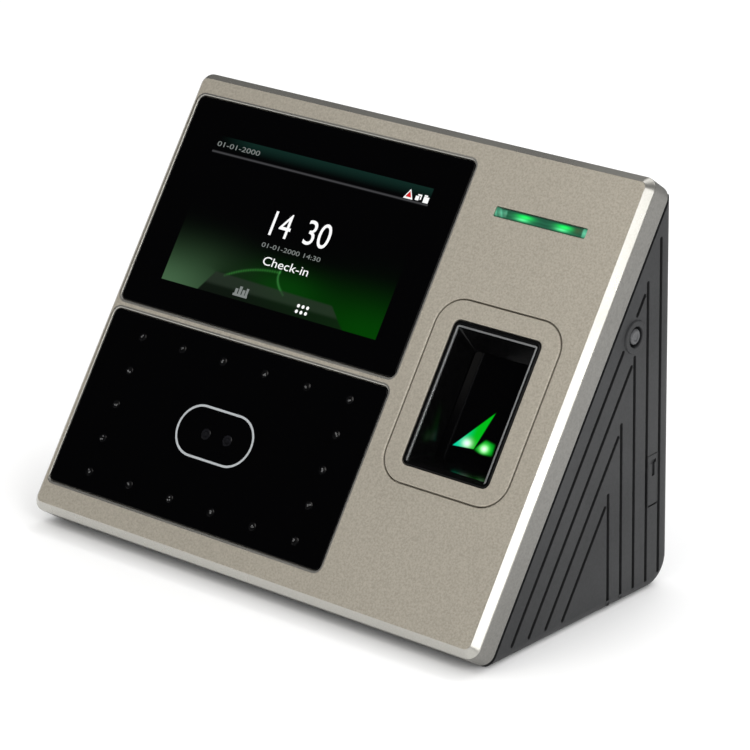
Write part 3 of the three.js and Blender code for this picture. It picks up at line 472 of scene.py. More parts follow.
clearance = 0.3
window_front = -0.3
window_back = -seat_depth + clearance
pane_section = filleted(
    [(1.4, window_front), (0, window_front), (0, window_back), (1.4, window_back)], [0.25, 0.15],
)


def shrunk(opening, margin):
    """The outline of an opening moved inwards by a margin."""
    left, right_edge, low, high, radius = opening
    return left + margin, right_edge - margin, low + margin, high - margin, max(radius - margin, 0.1)


pane = swept_rim(pane_section, *shrunk(display_opening, clearance))
touch_window = solid("touch_glass", placed(
    on_face, band(pane), flat_sheet(pane[0], [], window_front), flat_sheet(pane[-1], [], window_back),
), gloss_black, slot="black_glass")
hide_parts("touch_window")

picture_left, picture_low = 18.0, 88.7
picture_width, picture_height = 95.3, 53.8
picture_level = window_front + 0.02


def smooth(value, start, end):
    """Smooth step from 0 at start to 1 at end: 3t^2 - 2t^3."""
    share = np.clip((value - start) / (end - start), 0, 1)
    return share * share * (3 - 2 * share)


def glow(s, t, centre_s, centre_t, reach_s, reach_t):
    """Round soft spot: exp(-(ds/reach)^2 - (dt/reach)^2)."""
    return np.exp(-((s - centre_s) / reach_s) ** 2 - ((t - centre_t) / reach_t) ** 2)


def stroke(s, t, start, bend, end, thickness):
    """Curved line of light: nearness of each point to 24 points along the quadratic curve start, bend,
    end."""
    share = np.linspace(0, 1, 24)[:, None]
    start, bend, end = np.array([start, bend, end])
    curve = (1 - share) ** 2 * start + 2 * share * (1 - share) * bend + share ** 2 * end
    across = (s[..., None] - curve[:, 0]) * picture_width
    along = (t[..., None] - curve[:, 1]) * picture_height
    gap = np.hypot(across, along)
    return np.exp(-(gap.min(axis=-1) / thickness) ** 2)


def clock_picture(s, t):
    """Colour of the lit picture at s (left to right) and t (bottom to top), both 0 to 1, in linear light:
    a green field that is brightest at the lower right, two arcs, a pale patch at the lower left, a grey
    dock and a status bar with a thin line under it."""
    field = smooth(-t, -0.40, -0.02) * (0.12 + 0.88 * smooth(s, 0.05, 0.95))
    colour = field[..., None] * np.array([0.0002, 0.017, 0.0002])
    colour += glow(s, t, 0.97, -0.02, 0.26, 0.24)[..., None] * np.array([0.0, 0.030, 0.0])
    colour += glow(s, t, 0.55, 0.16, 0.16, 0.11)[..., None] * np.array([0.0004, 0.030, 0.0008])
    colour += glow(s, t, 0.12, 0.18, 0.26, 0.15)[..., None] * np.array([0.009, 0.022, 0.009])
    patch_edge = 0.176 + 0.36 * t
    edge_width = 0.004 + 0.09 * smooth(t, 0.13, 0.17)
    patch = smooth(-s, -patch_edge - edge_width, -patch_edge + edge_width)
    patch *= glow(s, t, -0.02, -0.02, 0.28, 0.17)
    colour += patch[..., None] * np.array([0.055, 0.120, 0.058])
    left_arc = stroke(s, t, (0.27, 0.13), (0.37, 0.235), (0.50, 0.24), 0.42)
    right_arc = stroke(s, t, (0.50, 0.25), (0.49, 0.18), (0.55, 0.11), 0.36)
    colour += left_arc[..., None] * np.array([0.020, 0.13, 0.020])
    colour += right_arc[..., None] * np.array([0.030, 0.15, 0.035])
    dock_top = 0.146 - 0.024 * s
    dock_right = np.where(t > 0.07, 0.76 + 0.6 * (0.146 - t), 0.805 + 0.65 * (0.07 - t))
    blur = 0.004
    dock = smooth(s, patch_edge - blur, patch_edge + blur)
    dock *= smooth(-s, -dock_right - blur, -dock_right + blur)
    dock *= smooth(-t, -dock_top - 2 * blur, -dock_top + 2 * blur)
    sheen = 0.20 + 0.80 * smooth(t, 0.045, 0.075)
    colour = colour * (1 - 0.70 * dock[..., None])
    colour += (dock * sheen)[..., None] * np.array([0.015, 0.021, 0.015])
    status_bar = smooth(t, 0.905, 1.0) * smooth(s, 0.0, 0.20)
    colour += status_bar[..., None] * np.array([0.004, 0.020, 0.015])
    line = np.exp(-((t - 0.890) / 0.0048) ** 2)
    return colour + line[..., None] * np.array([0.070, 0.070, 0.074])


def lit_slab(name, surface, colours, bottom, base=near_black):
    """Closed slab whose front is a grid of points of the face frame, each with its own light in the
    colour attribute 'light'; a skirt runs from the grid's edge down to a flat back."""
    rows, columns = colours.shape[:2]
    grid, quads = band(surface, closed=False)
    index = np.arange(rows * columns).reshape(rows, columns)
    edge = np.concatenate([index[0], index[1:, -1], index[-1, -2::-1], index[-2:0:-1, 0]])
    back_edge = np.arange(len(edge)) + rows * columns
    skirt = np.stack([np.roll(edge, -1), edge, back_edge, np.roll(back_edge, -1)], axis=-1)
    points = np.concatenate([grid, np.column_stack([grid[edge, :2], np.full(len(edge), bottom)])])
    faces = quads.tolist() + skirt.tolist() + [back_edge[::-1].tolist()]
    mesh = bpy.data.meshes.new(name)
    mesh.from_pydata(on_face(points).tolist(), [], faces)
    light = mesh.color_attributes.new("light", "FLOAT_COLOR", "POINT")
    values = np.zeros((len(points), 4))
    values[:rows * columns, :3] = colours.reshape(-1, 3)
    light.data.foreach_set("color", values.ravel())
    material, shader = new_material(name, {
        "Emission Strength": 1.0, "Base Color": base, "Roughness": 0.07, "Specular IOR Level": 0.2,
    })
    tree = material.node_tree
    lamp = tree.nodes.new("ShaderNodeAttribute")
    lamp.attribute_name = "light"
    tree.links.new(lamp.outputs["Color"], shader.inputs["Emission Color"])
    mesh.materials.append(material)
    return new_piece(name, mesh)


picture_s, picture_t = np.meshgrid(np.linspace(0, 1, 320), np.linspace(0, 1, 180))
picture_back = window_front - 0.02
picture_grid = np.stack([
    picture_left + picture_s * picture_width,
    picture_low + picture_t * picture_height,
    picture_level + 0 * picture_s,
], axis=-1)
display = lit_slab("display_picture", picture_grid, clock_picture(picture_s, picture_t), picture_back)


def light_material(name, colour):
    """Evenly lit ink: a dark glossy surface that gives off one colour."""
    return new_material(name, {
        "Base Color": (0.0, 0.0, 0.0, 1.0), "Roughness": 0.1,
        "Emission Color": (*colour, 1.0), "Emission Strength": 1.0,
    })[0]


white_light = light_material("white_light", (1.0, 1.0, 1.0))
dim_light = light_material("dim_light", (0.22, 0.24, 0.23))
red_light = light_material("red_light", (0.65, 0.02, 0.02))
ink_level = picture_level + 0.02


def digits(name, text, across, along, material):
    """Generic characters as a flat mesh on the glass, stretched to fill across and along, two stretches
    of the picture's width and height."""
    curve = bpy.data.curves.new(name, "FONT")
    curve.body = text
    curve.resolution_u = 5
    maker = bpy.data.objects.new(name + "_maker", curve)
    bpy.context.scene.collection.objects.link(maker)
    flat = bpy.data.meshes.new_from_object(maker.evaluated_get(bpy.context.evaluated_depsgraph_get()))
    bpy.data.objects.remove(maker)
    points = np.zeros(len(flat.vertices) * 3)
    flat.vertices.foreach_get("co", points)
    points = points.reshape(-1, 3)[:, :2]
    share = (points - points.min(axis=0)) / np.ptp(points, axis=0)
    low = np.array([across[0], along[0]])
    high = np.array([across[1], along[1]])
    spread = (low + share * (high - low)) * (picture_width, picture_height) + (picture_left, picture_low)
    points = on_face(np.column_stack([spread, np.full(len(spread), ink_level)]))
    flat.vertices.foreach_set("co", points.ravel())
    flat.materials.clear()
    flat.materials.append(material)
    flat.update()
    return new_piece(name, flat)


digits("clock_hours", "14", (0.386, 0.475), (0.455, 0.618), white_light)
digits("clock_minutes", "30", (0.543, 0.655), (0.455, 0.618), white_light)
digits("date_line", "01-01-2000 14:30", (0.377, 0.649), (0.371, 0.401), dim_light)
digits("mode_line", "Check-in", (0.41, 0.62), (0.262, 0.318), white_light)
digits("status_line", "01-01-2000", (0.012, 0.215), (0.929, 0.962), dim_light)


def ink(name, shapes, material, corner=(picture_left, picture_low), height=ink_level):
    """Flat lit marks on the glass: closed outlines, in millimetres from a corner, which is the picture's
    lower left."""
    sheets = [flat_sheet(np.asarray(shape, float) + corner, [], height) for shape in shapes]
    points, faces = joined(placed(on_face, *sheets))
    mesh = bpy.data.meshes.new(name)
    mesh.from_pydata(points.tolist(), [], faces)
    mesh.materials.append(material)
    return new_piece(name, mesh)


def disc(x, y, radius, count=16):
    """Closed circle of points."""
    turn = np.arange(count) * 2 * math.pi / count
    return np.column_stack([x + radius * np.cos(turn), y + radius * np.sin(turn)])


def bar(x, y, width, height):
    """Closed rectangle centred at x, y."""
    return np.array([(-1, -1), (1, -1), (1, 1), (-1, 1)]) * (width / 2, height / 2) + (x, y)


ink("menu_icon", [
    disc(62.3 + 2.0 * column, 3.9 - 2.0 * row, 0.62) for column in (-1, 0, 1) for row in (0, 1)
], white_light)
ink("report_icon", [
    bar(35.1, 1.7, 6.4, 0.8), bar(33.0, 3.0, 1.2, 1.8), bar(34.6, 3.5, 1.2, 2.8),
    bar(36.2, 3.0, 1.2, 1.8), bar(37.6, 3.4, 1.0, 2.6),
], dim_light)
warning_place = np.array([86.6, 50.0])
warning = np.array([(-2.0, -1.6), (2.0, -1.6), (0.0, 1.9)])
rim_share, filling_share = 0.62, 0.58
warning_sides = [
    np.array([a, b, rim_share * b, rim_share * a]) + warning_place
    for a, b in zip(warning, np.roll(warning, -1, axis=0))
]
ink("warning_rim", warning_sides, white_light)
ink("warning_icon", [filling_share * warning + warning_place], red_light)
ink("network_icon", [
    bar(90.2, 49.4, 1.5, 1.5), bar(91.0, 50.6, 1.7, 0.5), bar(91.6, 49.8, 0.5, 1.5),
], white_light)
ink("storage_icon", [bar(93.9, 49.4, 2.2, 2.1), bar(93.5, 50.8, 1.4, 0.5)], white_light)

# ---- Camera window ------------------------------------------------------------------------------------
# Infrared-pass black acrylic over the two cameras and the 18 lamps. A pale stadium line is inlaid round
# the cameras, and the lamps and lenses show faintly through the window. Three pale specks on each lamp
# are painted highlights, standing for glints of light off the lamp dies.

camera_centre = (66.2, 42.5)
ring_centre = (65.1, 42.4)
ring_half_width, ring_half_height = 16.7, 9.25
ring_line = 0.8
line_gap = 0.06
line_top, line_foot, line_floor = window_front + 0.03, -0.7, -0.75
smoked, _ = new_material("smoked_window", {
    "Base Color": near_black, "Roughness": 0.08, "Specular IOR Level": 0.2,
})
pane = swept_rim(pane_section, *shrunk(camera_opening, clearance))
ring_box = (
    ring_centre[0] - ring_half_width, ring_centre[0] + ring_half_width,
    ring_centre[1] - ring_half_height, ring_centre[1] + ring_half_height, ring_half_height - 0.01,
)
ring_groove = swept_rim([
    (-line_gap, window_front), (-line_gap, line_floor),
    (ring_line + line_gap, line_floor), (ring_line + line_gap, window_front),
], *ring_box, steps=18)
camera_window = solid("camera_glass", placed(
    on_face, band(pane), band(ring_groove), flat_sheet(pane[0], [ring_groove[0]], window_front),
    flat_sheet(ring_groove[-1], [], window_front), flat_sheet(pane[-1], [], window_back),
), smoked, slot="smoked_glass")
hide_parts("camera_window")

pale_metal = grained(
    "pale_line", (0.50, 0.53, 0.55), (0.62, 0.65, 0.67), 0.30, 0.35, grains=2500.0, bump=0.1,
)
ring_section = filleted(
    [(0, line_foot), (0, line_top), (ring_line, line_top), (ring_line, line_foot), (0, line_foot)],
    [0.12, 0.12, 0.05],
)
camera_ring = solid("camera_line", placed(
    on_face, band(swept_rim(ring_section, *ring_box, steps=18)),
), pale_metal, slot="pale_trim")
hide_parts("camera_ring")


def turned_loops(profile, steps=32):
    """Profile of (radius, height) turned about the height axis: (r cos a, r sin a, h)."""
    turn = np.arange(steps) * 2 * math.pi / steps
    radius, height = np.asarray(profile, float).T[:, :, None]
    return np.stack([radius * np.cos(turn), radius * np.sin(turn), height + 0 * turn], axis=-1)


lens_glass = grained(
    "lens_glass", (0.005, 0.005, 0.006), (0.008, 0.008, 0.010), 0.12, grains=800.0, bump=0.0,
)
lamp_glass = grained(
    "lamp_glass", (0.002, 0.002, 0.0022), (0.004, 0.004, 0.0045), 0.16, grains=900.0, bump=0.05,
)
lamp_pitch = (18.5, 12.4)
lamp_columns, lamp_rows = 6, 5
lamp_profile = [(1.45, 0.0), (1.3, 0.05), (0.9, 0.11), (0.4, 0.15), (0.0, 0.16)]
lamp_parts = []
lamp_places = []
for column in range(lamp_columns):
    for row in range(lamp_rows):
        if column in (0, lamp_columns - 1) or row in (0, lamp_rows - 1):
            shift = (
                camera_centre[0] + (column - (lamp_columns - 1) / 2) * lamp_pitch[0],
                camera_centre[1] + (row - (lamp_rows - 1) / 2) * lamp_pitch[1],
                window_front,
            )
            lamp_parts.append(band(turned_loops(lamp_profile, 16) + shift))
            lamp_places.append(np.array(shift[:2]))
solid("lamp_lenses", placed(on_face, *lamp_parts), lamp_glass, slot="smoked_glass")
# Pale specks on the lamps: painted highlights for light glinting off the dies behind the window.
lamp_glint_paint = grained("lamp_painted_glints", (0.06, 0.06, 0.061), (0.15, 0.15, 0.152), 0.45, grains=3000.0)
chance = np.random.default_rng(11)
painted_glints = [
    disc(0, 0, chance.uniform(0.22, 0.46, 7), 7) * (1.0, 0.8) + centre + chance.uniform(-0.62, 0.62, 2)
    for centre in lamp_places for _ in range(3)
]
glint_level = window_front + 0.18
ink("lamp_painted_glints", painted_glints, lamp_glint_paint, (0.0, 0.0), glint_level)
lens_profile = [(1.9, 0.0), (1.8, 0.04), (1.2, 0.05), (1.0, -0.01), (0.5, 0.03), (0.0, 0.05)]
lens_across, lens_drop = 4.75, 0.4
lens_parts = []
for side in (-1, 1):
    shift = (camera_centre[0] + side * lens_across, camera_centre[1] - lens_drop, window_front)
    lens_parts.append(band(turned_loops(lens_profile, 24) + shift))
solid("camera_lenses", placed(on_face, *lens_parts), lens_glass, slot="smoked_glass")

# ---- Status light -------------------------------------------------------------------------------------
# Clear moulded light pipe snapped into the slot at the upper right. Two green diodes behind it make two
# bright spots, and the facets moulded at its ends glitter.

slot_left, slot_right, slot_low, slot_high = light_slot[:4]
pipe_gap = 0.2
pipe_back = -2.6
pipe_length = slot_right - slot_left - 2 * pipe_gap
pipe_x, pipe_t = np.meshgrid(np.linspace(0, pipe_length, 240), np.linspace(-1, 1, 17))
facets = smooth(-pipe_x, -6.0, -4.0) + smooth(pipe_x, 34.6, 35.2)
facet_pitch = 2.3
saw = np.abs((pipe_x / facet_pitch + 0.35 * pipe_t) % 1.0 - 0.5) * 2
pipe_front = -0.25 - 0.25 * pipe_t ** 4 - 0.35 * facets * saw
pipe_half = (slot_high - slot_low) / 2 - pipe_gap
pipe_surface = np.stack([
    slot_left + pipe_gap + pipe_x, (slot_low + slot_high) / 2 + pipe_half * pipe_t, pipe_front,
], axis=-1)


def pipe_light(x, t):
    """Light at x millimetres along the pipe and t across it, -1 to 1: a dim green floor, two bright spots
    each with a green upper lobe and a whiter lower one, pale glints on the facets, a brown stretch near
    the right end and a dark line along the upper edge."""
    upper = glow(x, t, 12.0, 0.22, 2.9, 0.40) + glow(x, t, 27.8, 0.22, 2.9, 0.40)
    lower = glow(x, t, 11.2, -0.45, 2.5, 0.27) + glow(x, t, 27.0, -0.45, 2.5, 0.27)
    halo = glow(x, t, 11.8, 0.0, 4.6, 1.1) + glow(x, t, 27.6, 0.0, 4.2, 1.1)
    ribs = 0.70 + 0.30 * np.cos(8.0 * t + 0.4 * np.sin(1.3 * x))
    brown = glow(x, t, 33.0, 0.25, 1.5, 0.7)
    left_glints = smooth(-x, -5.2, -3.6) * (0.35 + 0.65 * saw ** 2)
    glints = (left_glints + smooth(x, 34.7, 35.2)) * (1 - 0.8 * t ** 2)
    light = np.multiply.outer(upper, [0.0, 0.80, 0.060]) + np.multiply.outer(lower, [0.11, 0.82, 0.29])
    light += np.multiply.outer(halo, [0.0, 0.16, 0.030]) + np.multiply.outer(ribs, [0.010, 0.060, 0.032])
    light *= 1 - 0.85 * brown[..., None]
    light += np.multiply.outer(glints, [0.11, 0.46, 0.28])
    light += np.multiply.outer(brown, [0.040, 0.034, 0.008])
    inner = smooth(x, 0.8, 2.2) * smooth(-x, -35.2, -34.4)
    edge_shade = 1 - 0.90 * inner * smooth(t, 0.52, 0.85) - 0.60 * smooth(-t, 0.72, 0.98)
    return light * edge_shade[..., None]


pipe_green = (0.01, 0.05, 0.03, 1.0)
pipe = lit_slab("status_light", pipe_surface, pipe_light(pipe_x, pipe_t), pipe_back, pipe_green)
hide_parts("status_light_pipe")

# ---- Reader surround ----------------------------------------------------------------------------------
# Separate painted panel with wide round corners, set flush in the tray with a fine gap round it. The
# reader's black frame comes through its middle.

reader_centre = (158.3, 77.6)
frame_half = (17.45, 25.0)
frame_corner = 2.2
panel_back = -seat_depth + clearance
panel_section = filleted([(1.5, 0), (0, 0), (0, panel_back), (1.5, panel_back)], [0.45, 0.15])
hole_section = filleted([(-1.0, 0), (0, 0), (0, panel_back)], [0.3])


def round_reader(half_width, half_height, radius):
    """Rectangle centred on the reader."""
    x, y = reader_centre
    return x - half_width, x + half_width, y - half_height, y + half_height, radius


panel_gap = 0.5
hole_gap = 0.3
panel_edge = swept_rim(panel_section, *shrunk(reader_opening, panel_gap), steps=12)
panel_hole = swept_rim(hole_section, *round_reader(
    frame_half[0] + hole_gap, frame_half[1] + hole_gap, frame_corner + hole_gap,
))
surround = solid("reader_surround", placed(
    on_face, band(panel_edge), band(panel_hole), flat_sheet(panel_edge[0], [panel_hole[0]], 0),
    flat_sheet(panel_edge[-1], [panel_hole[-1]], panel_back),
), silver_paint, slot="silver_paint")
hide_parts("reader_plate")

# ---- Reader well --------------------------------------------------------------------------------------
# Glossy black frame with walls that slope in to the glass, so that a fingertip finds its place. A thin
# bright line is inlaid at the mouth. Green light from the diodes under the glass shines out at its lower
# right corner.

mouth_half = (15.6, 22.9)
well_depth = 9.5
floor_share = 0.8
piano_black = grained(
    "piano_black", (0.0012, 0.0012, 0.0013), (0.0025, 0.0025, 0.0027), 0.14, grains=700.0, bump=0.02,
    rough_change=0.05, specular=0.2,
)
lip_width, lip_drop = 1.15, 1.0
frame_section = filleted(
    [(0, -well_depth), (0, 0), (lip_width, 0), (lip_width, -lip_drop), (1.85, -lip_drop)],
    [0.35, 0.15, 0.1],
)
frame_rim = swept_rim(frame_section, *round_reader(*frame_half, frame_corner))
mouth_corner = 0.9
well_top = swept_rim([(0, -lip_drop)], *round_reader(*mouth_half, mouth_corner))
well_half = [half * floor_share for half in mouth_half]
well_floor = swept_rim([(0, -well_depth)], *round_reader(*well_half, mouth_corner))
reader_frame = solid("reader_frame_moulding", placed(
    on_face, band(np.concatenate([frame_rim, well_top, well_floor])),
    flat_sheet(frame_rim[0], [well_floor[0]], -well_depth),
), piano_black, slot="gloss_moulding")
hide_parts("reader_frame")

trim_width, trim_top, trim_foot, trim_tuck = 0.6, -0.15, -0.9, 1.05
trim_left, trim_right, trim_low, trim_high, trim_corner = round_reader(
    mouth_half[0] + trim_width, mouth_half[1] + trim_width, mouth_corner,
)
trim_section = filleted(
    [(0, trim_foot), (0, trim_top), (trim_width, trim_top), (trim_width, trim_foot), (0, trim_foot)],
    [0.1, 0.1, 0.05],
)
bright_line = grained(
    "bright_line", (0.42, 0.43, 0.44), (0.55, 0.56, 0.57), 0.25, 0.85, grains=2500.0, bump=0.1,
)
reader_trim = solid("reader_line", placed(
    on_face, band(swept_rim(
        trim_section, trim_left, trim_right, trim_low - trim_tuck, trim_high, trim_corner,
    )),
), bright_line, slot="pale_trim")
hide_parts("reader_trim")

lit_x, lit_y = np.meshgrid(np.linspace(150.4, 167.4, 150), np.linspace(63.2, 78.6, 140))


def within(x, y, corners, soft=0.16):
    """Soft-edged mask of a convex outline: the product of smooth steps over the distance inside each
    edge."""
    mask = np.ones_like(x)
    for (x0, y0), (x1, y1) in zip(corners, corners[1:] + corners[:1]):
        depth = ((x1 - x0) * (y - y0) - (y1 - y0) * (x - x0)) / math.hypot(x1 - x0, y1 - y0)
        mask *= smooth(depth, -soft, soft)
    return mask


def diode_light(x, y):
    """Green light in the glass, by face millimetres: a tall thin triangle and a rounded blob beside it,
    each with a near-white core; the triangle turns bluer towards its lower left tip."""
    wedge = [(151.0, 64.1), (159.2, 64.8), (162.3, 77.9)]
    blob = [(159.5, 64.8), (162.3, 63.9), (166.8, 64.3), (166.5, 68.1), (162.5, 68.7)]
    wedge_mask = within(x, y, wedge)
    blob_mask = within(x, y, blob, 0.5)
    bluer = smooth(-x, -158.5, -152.0)
    light = np.multiply.outer(wedge_mask, [0.0, 0.50, 0.010])
    light += np.multiply.outer(wedge_mask * bluer, [0.0, 0.18, 0.34])
    light += np.multiply.outer(blob_mask * glow(x, y, 163.2, 66.0, 3.2, 2.4), [0.0, 0.85, 0.030])
    cores = wedge_mask * glow(x, y, 156.0, 66.0, 1.7, 1.3)
    cores += blob_mask * glow(x, y, 163.1, 65.8, 1.25, 1.05)
    return light + np.multiply.outer(cores, [0.90, 0.75, 0.90])


lit_level, lit_back = -9.28, -9.42
lit_grid = np.stack([lit_x, lit_y, lit_level + 0 * lit_x], axis=-1)
lit_glass = lit_slab("reader_light", lit_grid, diode_light(lit_x, lit_y), lit_back)

# ---- Housing ------------------------------------------------------------------------------------------
# Dark grey wedge, moulded in one piece with 2.5 mm walls. Nine grooves run up each side in a chevron,
# and the rear wall has a shallow pocket for the wall plate and an opening for the connectors.

wall = 2.5
rim_level = -13.5
side_inset = 0.8
edge_round = 3.4
foot_round = 10.0
top_round = 1.2
rear_lean = 3.6 * DEG
housing_low, housing_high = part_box("rear_housing")
base_level = housing_low.z / MM
rear_most = housing_high.y / MM
foot_centre = rear_most - foot_round
rear_foot = foot_centre + foot_round * (1 + math.sin(rear_lean)) / math.cos(rear_lean)
rear_axes = np.array([
    [1.0, 0.0, 0.0],
    [0.0, math.cos(rear_lean), math.sin(rear_lean)],
    [0.0, -math.sin(rear_lean), math.cos(rear_lean)],
])
rear_origin = np.array([0.0, rear_foot, base_level])


def on_rear(points):
    """From (right, out of the rear wall, up it) in mm to the row frame."""
    return MM * (rear_origin + np.asarray(points, float) @ rear_axes)


def rear_sheet(points):
    """A flat sheet's (right, up, level) in mm, with its level measured out of the rear wall, to the row
    frame."""
    right_of, up_of, out_of = np.asarray(points, float).T
    return on_rear(np.column_stack([right_of, out_of, up_of]))


def side_point(along, out):
    """Point of the side view, in mm, from distance up the face and level above it."""
    return on_face((0.0, along, out))[1:] / MM


def meet(first, first_way, second, second_way):
    """Where two lines of the side view cross."""
    ways = np.column_stack([first_way, -np.asarray(second_way)])
    steps = np.linalg.solve(ways, np.subtract(second, first))
    return first + steps[0] * np.asarray(first_way)


rear_way = np.array([-math.sin(rear_lean), math.cos(rear_lean)])
face_way = face_axes[1, 1:]
out_way = face_axes[2, 1:]
top_up = face_length - side_inset
shortest_top = 0.2


def side_path(inset):
    """Side view from the rim's foot along the base, up the rear wall and over to the rim's top, moved
    inwards by inset; the two ends stay on the rim's plane. Far in, the rear wall meets the rim below its
    top edge, and the path ends there."""
    base = np.array([0.0, base_level + inset])
    inwards = np.array([-math.cos(rear_lean), -math.sin(rear_lean)])
    rear_line = np.array([rear_foot, base_level]) + inset * inwards
    rim_line = side_point(0.0, rim_level)
    top = side_point(top_up - inset, rim_level)
    rear_top = meet(rear_line, rear_way, top, out_way)
    if (top - rear_top) @ out_way < shortest_top:
        top = meet(rear_line, rear_way, rim_line, face_way)
        rear_top = top - 0.3 * rear_way - 0.01 * out_way
    corners = [
        meet(rim_line, face_way, base, (1.0, 0.0)),
        meet(base, (1.0, 0.0), rear_line, rear_way),
        rear_top,
        top,
    ]
    reach = np.linalg.norm(top - rear_top)
    return filleted(corners, [foot_round - inset, min(max(top_round - inset, 0.1), reach)], steps=10)


def skin(inset, rounding):
    """The wedge's outer or inner surface without its middle panels: the side view carried across, moved
    inwards near each side by the quarter circle of the edge's rounding."""
    turn = np.linspace(90, 0, 7) * DEG
    half = face_width / 2 - side_inset - inset
    right_side = half - rounding + rounding * np.sin(turn)
    across = np.concatenate([-right_side, right_side[::-1]])
    depth = inset + rounding * (1 - np.cos(np.concatenate([turn, turn[::-1]])))
    paths = [side_path(d) for d in depth]
    return np.array([np.column_stack([np.full(len(path), x), path]) for x, path in zip(across, paths)])


outer_skin = skin(0.0, edge_round)
inner_skin = skin(wall, edge_round - wall)
arc_points = 11
base_run = (0, 1)
rear_run = (arc_points, arc_points + 1)
middle = outer_skin.shape[0] // 2


def in_row(points):
    """Millimetres of the row frame to metres."""
    return MM * np.asarray(points, float)


def skin_quads(loops):
    """The band between stations, without the two large flat cells that have openings: base and rear
    wall."""
    points, quads = band(loops, closed=False)
    rows, columns = loops.shape[:2]
    cell = np.arange(len(quads)).reshape(rows - 1, columns - 1)
    large = [cell[middle - 1, base_run[0]], cell[middle - 1, rear_run[0]]]
    return points, np.delete(quads, large, axis=0)


half_flat = face_width / 2 - side_inset - edge_round
rear_low, rear_high = [
    float(((outer_skin[middle, k, 1:] - rear_origin[1:]) @ rear_axes[2, 1:])) for k in rear_run
]
base_front, base_back = [float(outer_skin[middle, k, 1]) for k in base_run]
inner_rear_low, inner_rear_high = [
    float(((inner_skin[middle, k, 1:] - rear_origin[1:]) @ rear_axes[2, 1:])) for k in rear_run
]
inner_front, inner_back = [float(inner_skin[middle, k, 1]) for k in base_run]


def box_loop(left, right_edge, low, high):
    """Closed rectangle."""
    return np.array([(left, low), (right_edge, low), (right_edge, high), (left, high)], float)


bay = (-42.0, 42.0, 13.0, 38.0, 0.8)
pocket = (-62.0, 62.0, 40.8, 124.0, 4.0)
pocket_depth = 1.8
hook_x, hook_half, hook_low, hook_high = 30.0, 4.3, 87.5, 93.8
tab_opening = (-6.3, 6.3, 41.6, 46.1, 0.4)
tamper_place = (54.0, 27.0, 0)
bay_section = filleted([(-1.0, 0), (0, 0), (0, -wall)], [0.5])
pocket_section = filleted([(-0.8, 0), (0, 0), (0, -pocket_depth), (0.6, -pocket_depth)], [0.3, 0.2])
through_section = [(0, -pocket_depth), (0, -wall)]
bay_rim = swept_rim(bay_section, *bay)
pocket_rim = swept_rim(pocket_section, *pocket)
hook_slots = [
    swept_rim(through_section, x - hook_half, x + hook_half, hook_low, hook_high, 0.5, steps=3)
    for x in (-hook_x, hook_x)
]
tab_slot = swept_rim(through_section, *tab_opening, steps=3)
tamper_hole = turned_loops([(2.9, 0), (2.7, -0.2), (2.7, -wall)], 24) + tamper_place
rear_holes = [bay_rim, pocket_rim, tamper_hole]
floor_holes = [*hook_slots, tab_slot]
rear_outside = box_loop(-half_flat, half_flat, rear_low, rear_high)
rear_inside = box_loop(-half_flat, half_flat, inner_rear_low, inner_rear_high)
rear_parts = placed(
    rear_sheet,
    *[band(loops) for loops in (*rear_holes, *floor_holes)],
    flat_sheet(rear_outside, [loops[0] for loops in rear_holes], 0),
    flat_sheet(pocket_rim[-1], [loops[0] for loops in floor_holes], -pocket_depth),
    flat_sheet(rear_inside, [loops[-1] for loops in (bay_rim, tamper_hole, *floor_holes)], -wall),
)


def base_sheet(points):
    """A flat sheet's (right, back, level) in mm, with its level measured down from the base, to the row
    frame."""
    right_of, back_of, out_of = np.asarray(points, float).T
    return MM * np.column_stack([right_of, back_of, base_level - out_of])


speaker_x, speaker_y = 42.0, -8.0
slot_width, slot_pitch, slot_half = 1.6, 4.0, 10.0
slit_section = filleted([(-0.4, 0), (0, 0), (0, -wall)], [0.2])
slits = []
for k in range(-2, 3):
    slit_y = speaker_y + k * slot_pitch
    slits.append(swept_rim(
        slit_section, speaker_x - slot_half, speaker_x + slot_half,
        slit_y - slot_width / 2, slit_y + slot_width / 2, slot_width / 2 - 0.01, steps=5,
    ))
base_outside = box_loop(-half_flat, half_flat, base_front, base_back)
base_inside = box_loop(-half_flat, half_flat, inner_front, inner_back)
base_parts = placed(
    base_sheet,
    *[band(loops) for loops in slits],
    flat_sheet(base_outside, [loops[0] for loops in slits], 0),
    flat_sheet(base_inside, [loops[-1] for loops in slits], -wall),
)

groove_width, groove_depth, groove_foot, first_foot = 1.5, 1.0, 3.9, 5.0
groove_lip = 4
upright_first, upright_pitch, upright_count = 6.3, 7.1, 5
slanted_first, slanted_pitch = 19.9, 7.5
overshoot = 2.2
button_forward, button_up = 20.5, 94.0
button_ring, button_hole = 5.4, 3.5
upright_top = 124.0
groove_section = filleted(
    [(-0.25, 0), (0, 0), (0.18, -groove_depth), (groove_width / 2 - 0.03, -groove_depth)],
    [0.14, 0.22], steps=3,
)


def groove(start, end):
    """One straight groove of the side view: the groove's section carried round a long thin rounded
    rectangle that is turned to run from start to end."""
    start, end = np.asarray(start, float), np.asarray(end, float)
    length = float(np.linalg.norm(end - start))
    way = (end - start) / length
    half = groove_width / 2
    loops = swept_rim(groove_section, 0, length, -half, half, half - 0.02, steps=3)
    flat = start + loops[..., :1] * way + loops[..., 1:2] * np.array([-way[1], way[0]])
    return np.concatenate([flat, loops[..., 2:]], axis=-1)


def rear_line_point(forward, height):
    """Point of the side view, forward of the rear wall and up it."""
    return on_rear((0.0, -forward, height))[1:] / MM


button_place = rear_line_point(button_forward, button_up)


